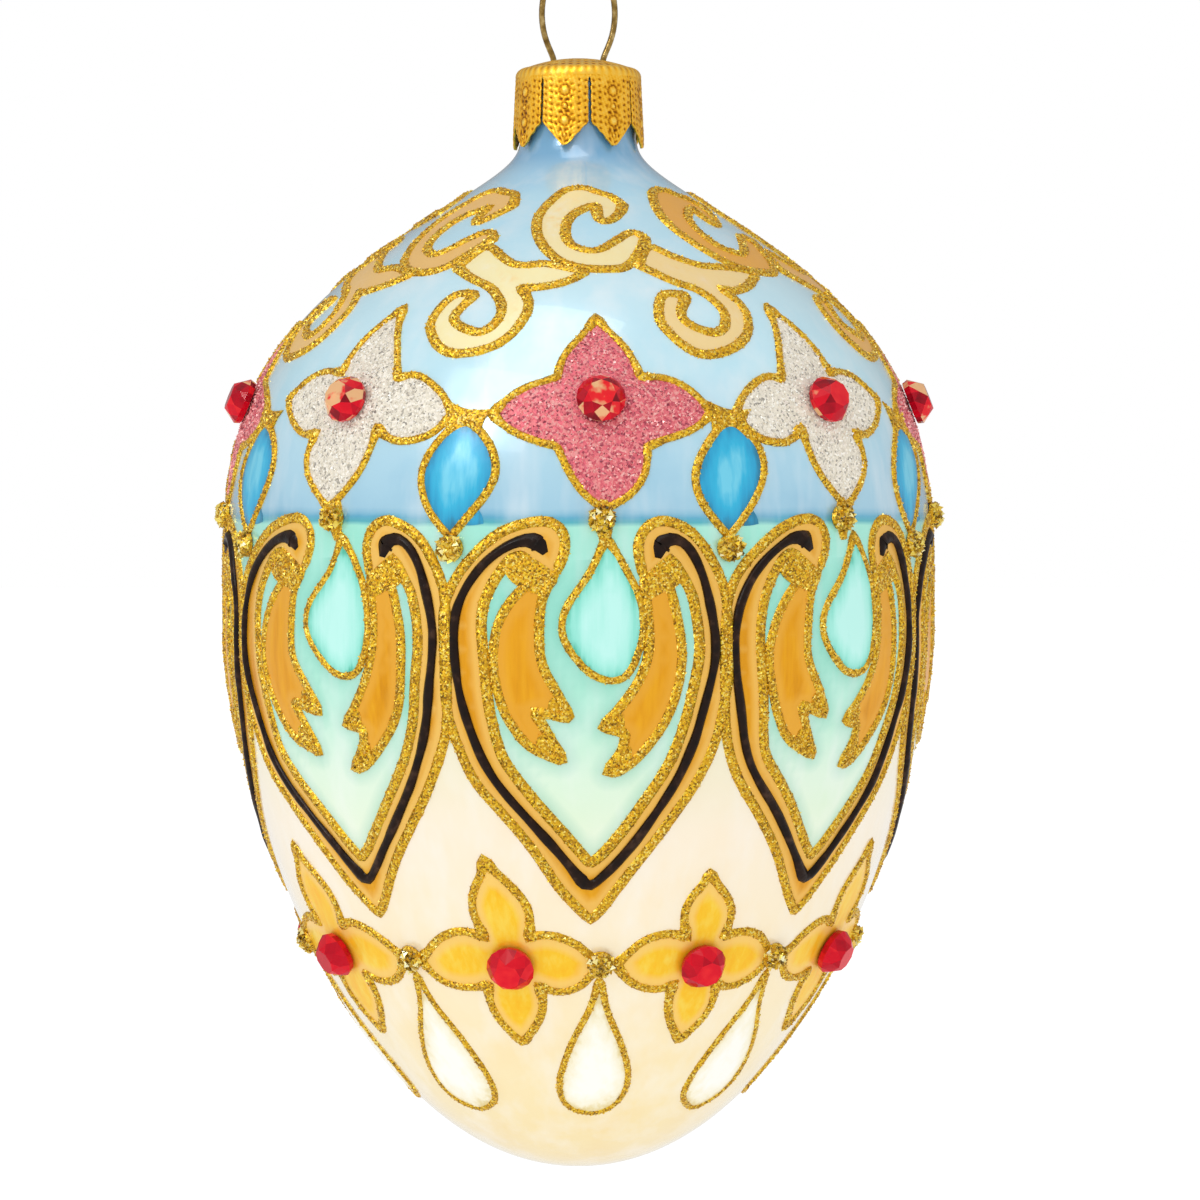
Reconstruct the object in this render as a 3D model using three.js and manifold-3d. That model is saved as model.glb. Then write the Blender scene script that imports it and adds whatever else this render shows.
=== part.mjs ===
// Hanging ornament: a hollow blown glass egg with a stamped gold crown cap and a wire loop, set with red stones.
// Millimetres, +Z up. The origin is the top inside of the wire loop, where a hook bears. The front faces -Y.
// Angles round the egg are in degrees from the front, positive towards +X. Heights on the egg are from its girth.
import * as THREE from "three";
import { mergeVertices } from "three/addons/utils/BufferGeometryUtils.js";
import Module from "manifold-3d";

const wasm = await Module();
wasm.setup();

// Wire loop, and the legs that spring it into the neck
const wireRadius = 0.31;
const loopHalfWidth = 3.85;
const loopHalfHeight = 5.95;
const wireHoleSpread = 2.4;
const legLength = 14;
const legFlare = 1.8;

// Crown cap, stamped from sheet
const capSheet = 0.25;
const capShoulderRadius = 6.5;
const capRimRadius = 6.85;
const capHeight = 9.3;
const capDomeRise = 1.0;
const capCornerRadius = 1.0;
const tabCount = 8;
const slitAngle = 10.3;
const slitWidth = 0.35;
const slitTopDrop = 2.3;
const tabPointHeight = 2.4;
const tabPointWidth = 0.5;

// Glass egg
const glassWall = 0.9;
const eggRadius = 36.65;
const eggRise = 50.5;
const eggDrop = 55.15;
const shoulderApexRise = 4;
const shoulderPower = 3.84;
const shoulderRoot = 1.64;
const neckBlend = 4.05;
const bottomPower = 1.505;
const bottomRoot = 0.4845;

// Clearances
const fitGap = 0.3;
const glueGap = 0.3;
const wireHoleGap = 0.45;

// Heart-shaped enamel lines that stand up from the glass: [degrees from the heart's middle, height]
const heartCount = 8;
const heartAngle = 1.8;
const enamelRadius = 0.55;
const enamelRise = 0.5;
const heartHalfLine = [
  [8.2, 9.5],
  [11, 10.9],
  [15.2, 10],
  [19, 6.4],
  [20.4, 1],
  [18.2, -6.8],
  [14.6, -12],
  [8.3, -17.2],
  [0, -22.9],
];

// Red stones and grit beads: their sizes, their heights, and the angles of those that the front shows
const stoneRadius = 2.4;
const stoneBackRadius = 2.2;
const stoneTableRadius = 1.35;
const stoneGirdleHeight = 0.6;
const stoneHeight = 2.05;
const beadRadius = 1.45;
const beadShoulderRadius = 0.95;
const beadHeight = 0.95;
const ringCount = 8;
const upperStones = { name: "upper_stone", height: 24.2, angles: [-80, -41, 3.6, 45, 83] };
const lowerStones = { name: "lower_stone", height: -31.4, angles: [-58, -13.5, 25.4, 64] };
const flowerBeads = { name: "flower_bead", height: 12.7, angles: upperStones.angles };
const marquiseBeads = { name: "marquise_bead", height: 9.9, angles: [-65, -19.8, 23.6, 66] };
const lowerBeads = { name: "lower_bead", height: -31.1, angles: [-78, -36, 4.4, 43.3, 84] };

// Faceting
const eggSides = 48;
const eggRings = 11;
const cavitySides = 24;
const cavityRings = 6;
const capSides = 32;
const cornerSteps = 3;
const holeSides = 8;
const stoneSides = 8;
const beadSides = 6;
const wireSides = 6;
const wireSteps = 48;
const loopPoints = 14;
const enamelSides = 5;
const enamelSteps = 26;

// Levels that follow from the sizes above
const loopCentreZ = wireRadius - loopHalfHeight;
const wireHoleTurn = Math.acos(wireHoleSpread / loopHalfWidth);
const capTopZ = loopCentreZ - loopHalfHeight * Math.sin(wireHoleTurn);
const capCornerZ = capTopZ - capDomeRise - capCornerRadius;
const tabTipZ = capTopZ - capHeight;
const neckRadius = capShoulderRadius - capSheet - fitGap;
const neckTopZ = capCornerZ - fitGap;
const girthZ = tabTipZ - eggRise;
const bottomZ = girthZ - eggDrop;

const radians = THREE.MathUtils.degToRad;
const capGold = new THREE.MeshStandardMaterial({ color: 0xe8a820, roughness: 0.3, metalness: 1 });
const wireGold = new THREE.MeshStandardMaterial({ color: 0xb88a3c, roughness: 0.2, metalness: 1 });
const lacquer = new THREE.MeshStandardMaterial({ color: 0xa9d3ee, roughness: 0.15, metalness: 0.1 });
const redGlass = new THREE.MeshStandardMaterial({ color: 0xc00a1c, roughness: 0.05, metalness: 0.1 });
const goldGrit = new THREE.MeshStandardMaterial({ color: 0xd9a92c, roughness: 0.4, metalness: 0.8 });

// A closed geometry as a solid that can be joined and cut.
function solidFrom(geometry) {
  const bare = geometry.clone();
  bare.deleteAttribute("normal");
  bare.deleteAttribute("uv");
  const merged = mergeVertices(bare);
  const vertProperties = new Float32Array(merged.attributes.position.array);
  const triVerts = new Uint32Array(merged.index.array);
  return new wasm.Manifold(new wasm.Mesh({ numProp: 3, vertProperties, triVerts }));
}

function geometryFrom(solid) {
  const { vertProperties, triVerts } = solid.getMesh();
  const geometry = new THREE.BufferGeometry();
  geometry.setAttribute("position", new THREE.BufferAttribute(vertProperties, 3));
  geometry.setIndex(new THREE.BufferAttribute(triVerts, 1));
  geometry.computeVertexNormals();
  return geometry;
}

// A profile of [radius, height] pairs turned about the +Z axis.
function turned(profile, sides) {
  const points = profile.map(([radius, height]) => new THREE.Vector2(radius, height));
  return new THREE.LatheGeometry(points, sides).rotateX(Math.PI / 2);
}

// A rod of regular section along a path.
function rod(path, radius, sides, steps) {
  const corner = (i) => (2 * Math.PI * i) / sides;
  const section = Array.from(
    { length: sides },
    (_, i) => new THREE.Vector2(radius * Math.cos(corner(i)), radius * Math.sin(corner(i))),
  );
  return new THREE.ExtrudeGeometry(new THREE.Shape(section), { steps, extrudePath: path });
}

// Outer radius of the glass at a level: a full shoulder that blends into the neck, and a slimmer lower half.
function glassRadius(z) {
  if (z < girthZ) {
    const share = Math.min((girthZ - z) / eggDrop, 1);
    return eggRadius * (1 - share ** bottomPower) ** bottomRoot;
  }
  const share = Math.min((z - girthZ) / (eggRise + shoulderApexRise), 1);
  const bodyRadius = (eggRadius ** neckBlend - neckRadius ** neckBlend) ** (1 / neckBlend);
  const shoulder = bodyRadius * (1 - share ** shoulderPower) ** shoulderRoot;
  return (shoulder ** neckBlend + neckRadius ** neckBlend) ** (1 / neckBlend);
}

// How far the glass faces upwards at a level, in radians from level.
function glassLean(z) {
  const step = 0.01;
  const low = Math.max(z - step, bottomZ);
  return Math.atan((glassRadius(low) - glassRadius(z + step)) / (z + step - low));
}

// A point that stands off the glass by a distance, at an angle round the egg.
function offGlass(degrees, z, distance) {
  const lean = glassLean(z);
  const radius = glassRadius(z) + distance * Math.cos(lean);
  const turn = radians(degrees);
  return new THREE.Vector3(radius * Math.sin(turn), -radius * Math.cos(turn), z + distance * Math.sin(lean));
}

// The egg's outline from its bottom pole to the top of the neck, taken in from the glass's outer face by a depth.
function eggOutline(depth, rings) {
  const quarter = (i) => Math.sin((Math.PI / 2) * (i / rings));
  const levels = [];
  for (let i = rings - 1; i > 0; i--) levels.push(girthZ - eggDrop * quarter(i));
  for (let i = 0; i <= rings; i++) levels.push(girthZ + eggRise * quarter(i));
  const wall = levels.map((z) => {
    const point = offGlass(0, z, -depth);
    return [-point.y, point.z];
  });
  return [[0, bottomZ + depth], ...wall];
}

function makeGlassShell() {
  const outline = [...eggOutline(0, eggRings), [neckRadius, neckTopZ], [0, neckTopZ]];
  let glass = solidFrom(turned(outline, eggSides));
  for (let i = 0; i < heartCount; i++) {
    glass = glass.add(solidFrom(makeHeartLine(heartAngle + (360 * i) / heartCount)));
  }
  const boreRadius = neckRadius - glassWall;
  const bore = [
    [boreRadius, neckTopZ + glassWall],
    [0, neckTopZ + glassWall],
  ];
  const cavity = [...eggOutline(glassWall, cavityRings), ...bore];
  return geometryFrom(glass.subtract(solidFrom(turned(cavity, cavitySides))));
}

// One enamel line, drawn like a heart with hooked ends, half sunk in the glass.
function makeHeartLine(middle) {
  const place = ([across, height]) => offGlass(middle + across, girthZ + height, enamelRise - enamelRadius);
  const mirrored = heartHalfLine.slice(0, -1).map(([across, height]) => [-across, height]);
  const line = [...heartHalfLine, ...mirrored.reverse()].map(place);
  const path = new THREE.CatmullRomCurve3(line, false, "centripetal");
  return rod(path, enamelRadius, enamelSides, enamelSteps);
}

// The cap's face, as a profile from the top's middle to the rim, taken in by a depth.
function capFace(depth) {
  const cornerRadius = capCornerRadius - depth;
  const cornerMiddle = capShoulderRadius - capCornerRadius;
  const face = [
    [0, capTopZ - depth],
    [cornerMiddle / 2, capTopZ - depth - capDomeRise / 4],
  ];
  for (let i = 0; i <= cornerSteps; i++) {
    const turn = (Math.PI / 2) * (1 - i / cornerSteps);
    face.push([cornerMiddle + cornerRadius * Math.cos(turn), capCornerZ + cornerRadius * Math.sin(turn)]);
  }
  face.push([capRimRadius - depth, tabTipZ]);
  return face;
}

// The slit between two tabs, opening below into the notch between their points, as a cutter.
function makeTabGap(degrees) {
  const notchHalf = capRimRadius * Math.sin(Math.PI / tabCount) - tabPointWidth / 2;
  const slitHalf = slitWidth / 2;
  const right = [
    [slitHalf, capTopZ - slitTopDrop],
    [slitHalf, tabTipZ + tabPointHeight],
    [notchHalf, tabTipZ],
    [notchHalf, tabTipZ - capSheet],
  ];
  const left = right.map(([x, z]) => [-x, z]).reverse();
  const outline = [...left, ...right].map(([x, z]) => new THREE.Vector2(x, z));
  const depth = 2 * capRimRadius;
  const cutter = new THREE.ExtrudeGeometry(new THREE.Shape(outline), { depth, bevelEnabled: false });
  return cutter.rotateX(Math.PI / 2).rotateZ(radians(degrees));
}

function makeCap() {
  const profile = [...capFace(capSheet), ...capFace(0).reverse()];
  let cap = solidFrom(turned(profile, capSides));
  for (let i = 0; i < tabCount; i++) {
    cap = cap.subtract(solidFrom(makeTabGap(slitAngle + (360 * i) / tabCount)));
  }
  for (const side of [-1, 1]) {
    const hole = new THREE.CylinderGeometry(
      wireRadius + wireHoleGap,
      wireRadius + wireHoleGap,
      2 * (capDomeRise + capSheet),
      holeSides,
    );
    hole.rotateX(Math.PI / 2).translate(side * wireHoleSpread, 0, capTopZ);
    cap = cap.subtract(solidFrom(hole));
  }
  return geometryFrom(cap);
}

// The wire's right leg from its hole in the cap down to its sprung end, as [x, z] pairs.
function legLine() {
  const boreReach = neckRadius - glassWall - fitGap - wireRadius;
  return [
    [wireHoleSpread, capTopZ - 1],
    [(wireHoleSpread + boreReach) / 2, capTopZ - 3.4],
    [boreReach, capTopZ - 6.6],
    [boreReach, tabTipZ],
    [boreReach + legFlare, capTopZ - legLength],
  ];
}

function makeHangerWire() {
  const leg = legLine();
  const loop = [];
  for (let i = 0; i <= loopPoints; i++) {
    const turn = -wireHoleTurn + (Math.PI + 2 * wireHoleTurn) * (i / loopPoints);
    loop.push([loopHalfWidth * Math.cos(turn), loopCentreZ + loopHalfHeight * Math.sin(turn)]);
  }
  const otherLeg = leg.map(([x, z]) => [-x, z]);
  const line = [...leg.reverse(), ...loop, ...otherLeg].map(([x, z]) => new THREE.Vector3(x, 0, z));
  const path = new THREE.CatmullRomCurve3(line, false, "centripetal");
  return rod(path, wireRadius, wireSides, wireSteps);
}

// A round stone with a flat back, a sharp girdle, a sloping crown and a flat table.
function makeStone() {
  const profile = [
    [0, 0],
    [stoneBackRadius, 0],
    [stoneRadius, stoneGirdleHeight],
    [stoneTableRadius, stoneHeight],
    [0, stoneHeight],
  ];
  return turned(profile, stoneSides);
}

// A low dome of coarse gold grit.
function makeBead() {
  const profile = [
    [0, 0],
    [beadRadius, 0],
    [beadShoulderRadius, beadHeight * 0.75],
    [0, beadHeight],
  ];
  return turned(profile, beadSides);
}

// All the angles of a ring: those that the front shows, and the rest spread evenly round the back.
function ringAngles(shown) {
  const first = shown[0];
  const last = shown[shown.length - 1];
  const pitch = (360 + first - last) / (ringCount - shown.length + 1);
  const rest = Array.from({ length: ringCount - shown.length }, (_, i) => last + pitch * (i + 1));
  return [...shown, ...rest];
}

// A ring of equal pieces glued round the egg, each square to the glass, as named meshes in turned groups.
function makeRing({ name, height, angles }, geometry, material) {
  const ring = new THREE.Group();
  ringAngles(angles).forEach((degrees, i) => {
    const piece = new THREE.Mesh(geometry, material);
    piece.name = `${name}_${i + 1}`;
    piece.position.copy(offGlass(0, girthZ + height, glueGap));
    piece.rotation.x = Math.PI / 2 - glassLean(girthZ + height);
    const turntable = new THREE.Group();
    turntable.rotation.z = radians(degrees);
    turntable.add(piece);
    ring.add(turntable);
  });
  return ring;
}

function named(name, geometry, material) {
  const mesh = new THREE.Mesh(geometry, material);
  mesh.name = name;
  return mesh;
}

const ornament = new THREE.Group();
const stone = makeStone();
const bead = makeBead();
ornament.add(named("glass_shell", makeGlassShell(), lacquer));
ornament.add(named("cap", makeCap(), capGold));
ornament.add(named("hanger_wire", makeHangerWire(), wireGold));
ornament.add(makeRing(upperStones, stone, redGlass));
ornament.add(makeRing(lowerStones, stone, redGlass));
ornament.add(makeRing(flowerBeads, bead, goldGrit));
ornament.add(makeRing(marquiseBeads, bead, goldGrit));
ornament.add(makeRing(lowerBeads, bead, goldGrit));

export default ornament;
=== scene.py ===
import math
import bpy
import numpy as np
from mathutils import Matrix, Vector
from mathutils.geometry import delaunay_2d_cdt


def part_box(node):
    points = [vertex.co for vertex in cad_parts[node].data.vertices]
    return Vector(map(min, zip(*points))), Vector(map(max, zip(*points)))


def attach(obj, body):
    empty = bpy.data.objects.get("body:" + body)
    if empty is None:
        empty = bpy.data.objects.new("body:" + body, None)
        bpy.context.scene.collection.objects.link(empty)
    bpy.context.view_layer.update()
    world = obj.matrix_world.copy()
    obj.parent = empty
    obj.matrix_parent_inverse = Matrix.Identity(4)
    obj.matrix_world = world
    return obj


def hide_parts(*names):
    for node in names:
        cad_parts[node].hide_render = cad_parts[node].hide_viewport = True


# A hanging ornament: a blown glass egg, lacquered, painted, edged in gold glitter and set with red stones.
# Blender works in metres. The painting is laid out as a decorator would: in degrees round the egg from the
# middle of the front, positive to the viewer's right, and in millimetres above the girth, its widest level.
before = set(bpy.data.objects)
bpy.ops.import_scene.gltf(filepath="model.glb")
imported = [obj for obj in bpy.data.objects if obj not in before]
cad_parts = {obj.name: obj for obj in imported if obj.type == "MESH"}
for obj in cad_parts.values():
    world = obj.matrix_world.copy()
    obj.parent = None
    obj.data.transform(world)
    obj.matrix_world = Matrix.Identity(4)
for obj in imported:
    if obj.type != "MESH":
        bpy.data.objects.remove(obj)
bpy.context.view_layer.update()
MM = 0.001

# The glass
GLASS_WALL = 0.9
EGG_RADIUS = 36.65
EGG_RISE = 50.5
EGG_DROP = 55.15
SHOULDER_APEX_RISE = 4.0
SHOULDER_POWER = 3.84
SHOULDER_ROOT = 1.64
NECK_BLEND = 4.05
BOTTOM_POWER = 1.505
BOTTOM_ROOT = 0.4845

# The cap and its wire
CAP_SHEET = 0.25
CAP_SHOULDER_RADIUS = 6.5
CAP_RIM_RADIUS = 6.85
CAP_DOME_RISE = 1.0
CAP_CORNER_RADIUS = 1.0
TAB_COUNT = 8
SLIT_ANGLE = 10.3
SLIT_WIDTH = 0.35
SLIT_TOP_DROP = 2.3
SLIT_TAPER = 0.3
TAB_POINT_HEIGHT = 2.4
TAB_POINT_WIDTH = 0.5
DOT_RING_RADIUS = 6.2
DOT_RING_PITCH = 1.1
STAMP_DEPTH = 0.24
STAMP_MIDDLE = 0.6
WIRE_RADIUS = 0.31
LOOP_HALF_WIDTH = 3.85
LOOP_HALF_HEIGHT = 5.95
WIRE_HOLE_SPREAD = 2.4
LEG_LENGTH = 14.0
LEG_FLARE = 1.8
FIT_GAP = 0.3

# The stones and the beads
STONE_RADIUS = 2.4
STONE_BACK_RADIUS = 2.2
STONE_TABLE_RADIUS = 1.35
STONE_STAR_RADIUS = 1.92
STONE_STAR_HEIGHT = 1.42
STONE_GIRDLE = 0.6
STONE_HEIGHT = 2.05
FOIL_RADIUS = 2.05
FOIL_RIM = 0.62
FOIL_WAIST_RADIUS = 1.0
FOIL_WAIST = 0.3
FOIL_TIP = 0.12
FOIL_BACK = 0.06
BEAD_RADIUS = 1.45
BEAD_HEIGHT = 0.95
GRIT_SINK = 0.25
GLUE_GAP = 0.3
RING_COUNT = 8

# Levels read from the frame
TAB_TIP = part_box("cap")[0].z / MM
CAP_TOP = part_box("cap")[1].z / MM
GIRTH = TAB_TIP - EGG_RISE
NECK_RADIUS = CAP_SHOULDER_RADIUS - CAP_SHEET - FIT_GAP
NECK_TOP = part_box("glass_shell")[1].z / MM

# Drawing
DEGREE = EGG_RADIUS * math.pi / 180
OUTLINE_STEP = 0.5
EASING = 5
PATCH_CELL = 1.3
PATCH_ROW = 0.87
PATCH_BORDER = 0.45
PAINT_LIFT = 0.06
PAINT_DEPTH = 0.25
LINE_RADIUS = 0.55
LINE_RISE = 0.32
HAND_WOBBLE = 0.07
POOL_TURN = 0.7
POOL_TURN_SPAN = 1.2
POOL_SPREAD = 0.75
POOL_RISE = 0.3
DARK_RADIUS = 0.49
DARK_RISE = 0.52
KNOB_RADIUS = 1.2
KNOB_REACH = 1.3
KNOB_SWELL = 0.9
TIP_SHARE = 0.014
TIP_SWELL = 0.4
FAR = 9.0
CRISP_ANGLE = math.radians(50)

# Grains to a square millimetre
LINE_GRAINS = 7.0
FIELD_GRAINS = 8.0
GRIT_GRAINS = 12.0

# Studio, in metres
WORLD_LIGHT = 0.8
BACK_GLOSS = 0.35
FLOOR_GLOSS = 0.75
FLOOR_REACH = 6
FLOOR_LEVEL = -0.25
CAMERA_LENS = 135.7
CAMERA_SENSOR = 36
CAMERA_PLACE = (0, -0.470, -0.0507)
CAMERA_AIM = (0.00224, 0, -0.06635)


def linear(code):
    """A colour written as on a paint chart, as the values that a shader takes."""
    parts = [int(code[i : i + 2], 16) / 255 for i in (1, 3, 5)]
    return (*[p / 12.92 if p <= 0.04045 else ((p + 0.055) / 1.055) ** 2.4 for p in parts], 1.0)


def hump(away, reach):
    """A smooth rise to 1 in the middle that dies away beyond a reach."""
    return np.exp(-((away / reach) ** 2))


def ripple(turn):
    """A wave between 0 and 1, highest where the turn is 0."""
    return 0.5 + 0.5 * np.cos(turn)


# The egg's form

def glass_radius(height):
    """Outer radius of the glass, in millimetres, at heights above the girth."""
    height = np.asarray(height, float)
    low = np.clip(-height / EGG_DROP, 0, 1)
    below = EGG_RADIUS * (1 - low**BOTTOM_POWER) ** BOTTOM_ROOT
    high = np.clip(height / (EGG_RISE + SHOULDER_APEX_RISE), 0, 1)
    body = (EGG_RADIUS**NECK_BLEND - NECK_RADIUS**NECK_BLEND) ** (1 / NECK_BLEND)
    shoulder = body * (1 - high**SHOULDER_POWER) ** SHOULDER_ROOT
    above = (shoulder**NECK_BLEND + NECK_RADIUS**NECK_BLEND) ** (1 / NECK_BLEND)
    return np.where(height < 0, below, above)


def glass_outward(height):
    """Direction square to the glass at heights above the girth, as its reach outwards and upwards."""
    step = 0.02
    height = np.asarray(height, float)
    low = np.maximum(height - step, -EGG_DROP)
    slope = (glass_radius(height + step) - glass_radius(low)) / (height + step - low)
    size = np.hypot(1, slope)
    return 1 / size, -slope / size


def on_egg(degrees, height, lift=0.0):
    """Points on the glass or above it, in metres."""
    turn = np.radians(degrees)
    out, up = glass_outward(height)
    radius = glass_radius(height) + lift * out
    level = GIRTH + height + lift * up
    return np.stack((radius * np.sin(turn), -radius * np.cos(turn), level), axis=-1) * MM


def outward_at(degrees, height):
    turn = np.radians(degrees)
    out, up = glass_outward(height)
    return np.stack((out * np.sin(turn), -out * np.cos(turn), up), axis=-1)


# Curves and outlines

def curve_through(points, wrap=False):
    """A smooth line through the points, closed on itself if wrap is set."""
    points = np.array(points, float)
    if wrap:
        chain = np.concatenate((points[-1:], points, points[:2]))
    else:
        first = 2 * points[0] - points[1]
        last = 2 * points[-1] - points[-2]
        chain = np.concatenate(([first], points, [last]))
    parts = []
    for before, start, end, after in zip(chain, chain[1:], chain[2:], chain[3:]):
        span = math.hypot((end[0] - start[0]) * DEGREE, end[1] - start[1])
        count = max(1, round(span / OUTLINE_STEP))
        t = (np.arange(count) / count)[:, None]
        bend = 2 * before - 5 * start + 4 * end - after
        twist = 3 * start - before - 3 * end + after
        parts.append(0.5 * (2 * start + (end - before) * t + bend * t**2 + twist * t**3))
    if not wrap:
        parts.append(points[-1:])
    return eased(np.concatenate(parts), wrap)


def eased(path, wrap=False):
    """The same line with its small kinks smoothed out and its ends kept."""
    for _ in range(EASING):
        smoother = (np.roll(path, 1, axis=0) + 2 * path + np.roll(path, -1, axis=0)) / 4
        path = smoother if wrap else np.concatenate((path[:1], smoother[1:-1], path[-1:]))
    return path


def chained(runs):
    """An open line of smooth runs that meet at sharp corners; each run starts where the last one ended."""
    made = [curve_through(runs[0])]
    for run in runs[1:]:
        made.append(curve_through([made[-1][-1], *run])[1:])
    return np.concatenate(made)


def both_sides(runs):
    """A closed outline from its right side, drawn from the top to the bottom."""
    right = chained(runs)
    left = right[-2:0:-1] * (-1, 1)
    return np.concatenate((right, left))


def closed(runs):
    """A closed outline of runs that meet at corners, the last one back at the first point."""
    if len(runs) == 1:
        return curve_through(runs[0], wrap=True)
    return chained([*runs[:-1], [*runs[-1], runs[0][0]]])[:-1]


class Ring:
    """Eight places round the egg; the gap to each neighbour stretches what is drawn there."""

    def __init__(self, angles, usual_gap):
        self.angles = sorted((a + 180) % 360 - 180 for a in angles)
        self.usual_gap = usual_gap

    def place(self, shape, i, seed):
        here = self.angles[i]
        left = (here - self.angles[i - 1]) % 360
        right = (self.angles[(i + 1) % RING_COUNT] - here) % 360
        across = np.where(shape[:, 0] < 0, shape[:, 0] * left, shape[:, 0] * right) / self.usual_gap
        return by_hand(np.column_stack((here + across, shape[:, 1])), seed * 100 + i)

    def everywhere(self, shape, seed):
        return [self.place(shape, i, seed) for i in range(RING_COUNT)]


def by_hand(shape, seed):
    """The same line with the slow waver of a hand."""
    random = np.random.default_rng(seed)
    waver = np.zeros_like(shape)
    for size in (9.0, 17.0):
        phase = random.uniform(0, 2 * math.pi, 2)
        waver[:, 0] += np.sin(shape[:, 1] * 2 * math.pi / size + phase[0]) * HAND_WOBBLE / DEGREE
        waver[:, 1] += np.sin(shape[:, 0] * DEGREE * 2 * math.pi / size + phase[1]) * HAND_WOBBLE
    return shape + waver


def node_angle(node):
    low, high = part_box(node)
    middle = (low + high) / 2
    return math.degrees(math.atan2(middle.x, -middle.y))


def nodes_of(name):
    return [f"{name}_{i + 1}" for i in range(RING_COUNT)]


def ring_of(name, usual_gap):
    return Ring([node_angle(node) for node in nodes_of(name)], usual_gap)


def spread_round(shown, usual_gap):
    """A ring of the angles that the front shows, with the rest evenly round the back."""
    hidden = RING_COUNT - len(shown)
    pitch = (360 + shown[0] - shown[-1]) / (hidden + 1)
    return Ring([*shown, *[shown[-1] + pitch * (i + 1) for i in range(hidden)]], usual_gap)


# Meshes

def store(mesh, label, values, domain="POINT"):
    """An attribute of a mesh: a number or a vector for each of its points or faces."""
    values = np.asarray(values, np.float32)
    kind, field = ("FLOAT", "value") if values.ndim == 1 else ("FLOAT_VECTOR", "vector")
    mesh.attributes.new(label, kind, domain).data.foreach_set(field, values.ravel())


def mesh_from(name, points, faces, edges=(), **attributes):
    mesh = bpy.data.meshes.new(name)
    mesh.from_pydata([tuple(p) for p in points], edges, faces)
    for label, values in attributes.items():
        store(mesh, label, values)
    mesh.update()
    return mesh


def joined(forms):
    """Points and faces of many small forms as one list of each."""
    points, faces, start = [], [], 0
    for spots, found in forms:
        points.append(spots)
        faces += [tuple(i + start for i in face) for face in found]
        start += len(spots)
    return np.concatenate(points), faces


def finished(name, mesh, material, replaces=(), smooth=True):
    """A finished piece of the ornament, riding on its one body."""
    piece = bpy.data.objects.new(name, mesh)
    bpy.context.scene.collection.objects.link(piece)
    if material is not None:
        mesh.materials.clear()
        mesh.materials.append(material)
    mesh.polygons.foreach_set("use_smooth", np.full(len(mesh.polygons), smooth))
    if smooth:
        mesh.set_sharp_from_angle(angle=CRISP_ANGLE)
    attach(piece, "root")
    if replaces:
        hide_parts(*replaces)
    return piece


def inside(points, outline):
    """Which points lie inside a closed outline."""
    x, y = points[:, 0:1], points[:, 1:2]
    x0, y0 = outline[:, 0], outline[:, 1]
    x1, y1 = np.roll(x0, -1), np.roll(y0, -1)
    crosses = (y0 > y) != (y1 > y)
    rise = np.where(y1 == y0, 1e-9, y1 - y0)
    return (crosses & (x < x0 + (y - y0) / rise * (x1 - x0))).sum(1) % 2 == 1


def distance_to(points, outline):
    gaps = points[:, None, :] - outline[None, :, :]
    return np.sqrt((gaps**2).sum(2).min(1))


def paint_patch(outline, lift, crown=0.0, cell=PATCH_CELL):
    """A thin closed skin of paint inside an outline: its points, faces and distances from the outline."""
    flat = outline * (DEGREE, 1)
    low, high = flat.min(0), flat.max(0)
    columns = np.arange(low[0] + cell / 2, high[0], cell)
    rows = np.arange(low[1] + cell / 2, high[1], cell * PATCH_ROW)
    grid = [(x + (j % 2) * cell / 2, y) for j, y in enumerate(rows) for x in columns]
    grid = np.array(grid).reshape(-1, 2)
    kept = grid[inside(grid, flat)] if len(grid) else grid
    if len(kept):
        kept = kept[distance_to(kept, flat) > cell * PATCH_BORDER]
    corners = [Vector(p) for p in np.concatenate((flat, kept))]
    loop = list(range(len(flat)))
    verts, _, faces = delaunay_2d_cdt(corners, [], [loop], 1, 1e-5)[:3]
    spots = np.array([tuple(v) for v in verts])
    edge = distance_to(spots, flat)
    rise = lift + crown * (1 - np.exp(-edge))
    top = on_egg(spots[:, 0] / DEGREE, spots[:, 1], rise)
    bottom = on_egg(spots[:, 0] / DEGREE, spots[:, 1], np.full(len(spots), lift - PAINT_DEPTH))
    count = len(spots)
    sides = dict.fromkeys(side for face in faces for side in zip(face, (*face[1:], face[0])))
    walls = [(b, a, a + count, b + count) for a, b in sides if (b, a) not in sides]
    under = [tuple(i + count for i in reversed(face)) for face in faces]
    return np.concatenate((top, bottom)), [*faces, *under, *walls], np.concatenate((edge, edge))


def painted(name, outlines, material, lift=PAINT_LIFT, crown=0.0, cell=PATCH_CELL, tones=None):
    """One piece of paint made of a patch for each outline, each patch with a tone of its own from 0 to 1."""
    if tones is None:
        tones = np.random.default_rng(len(outlines)).random(len(outlines)) * 0.35
    patches = [paint_patch(outline, lift, crown, cell) for outline in outlines]
    points, faces = joined(patch[:2] for patch in patches)
    edges = [patch[2] for patch in patches]
    shades = [np.full(len(edge), tone) for edge, tone in zip(edges, tones)]
    mesh = mesh_from(name, points, faces, edge=np.concatenate(edges), patch=np.concatenate(shades))
    return finished(name, mesh, material)


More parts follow.
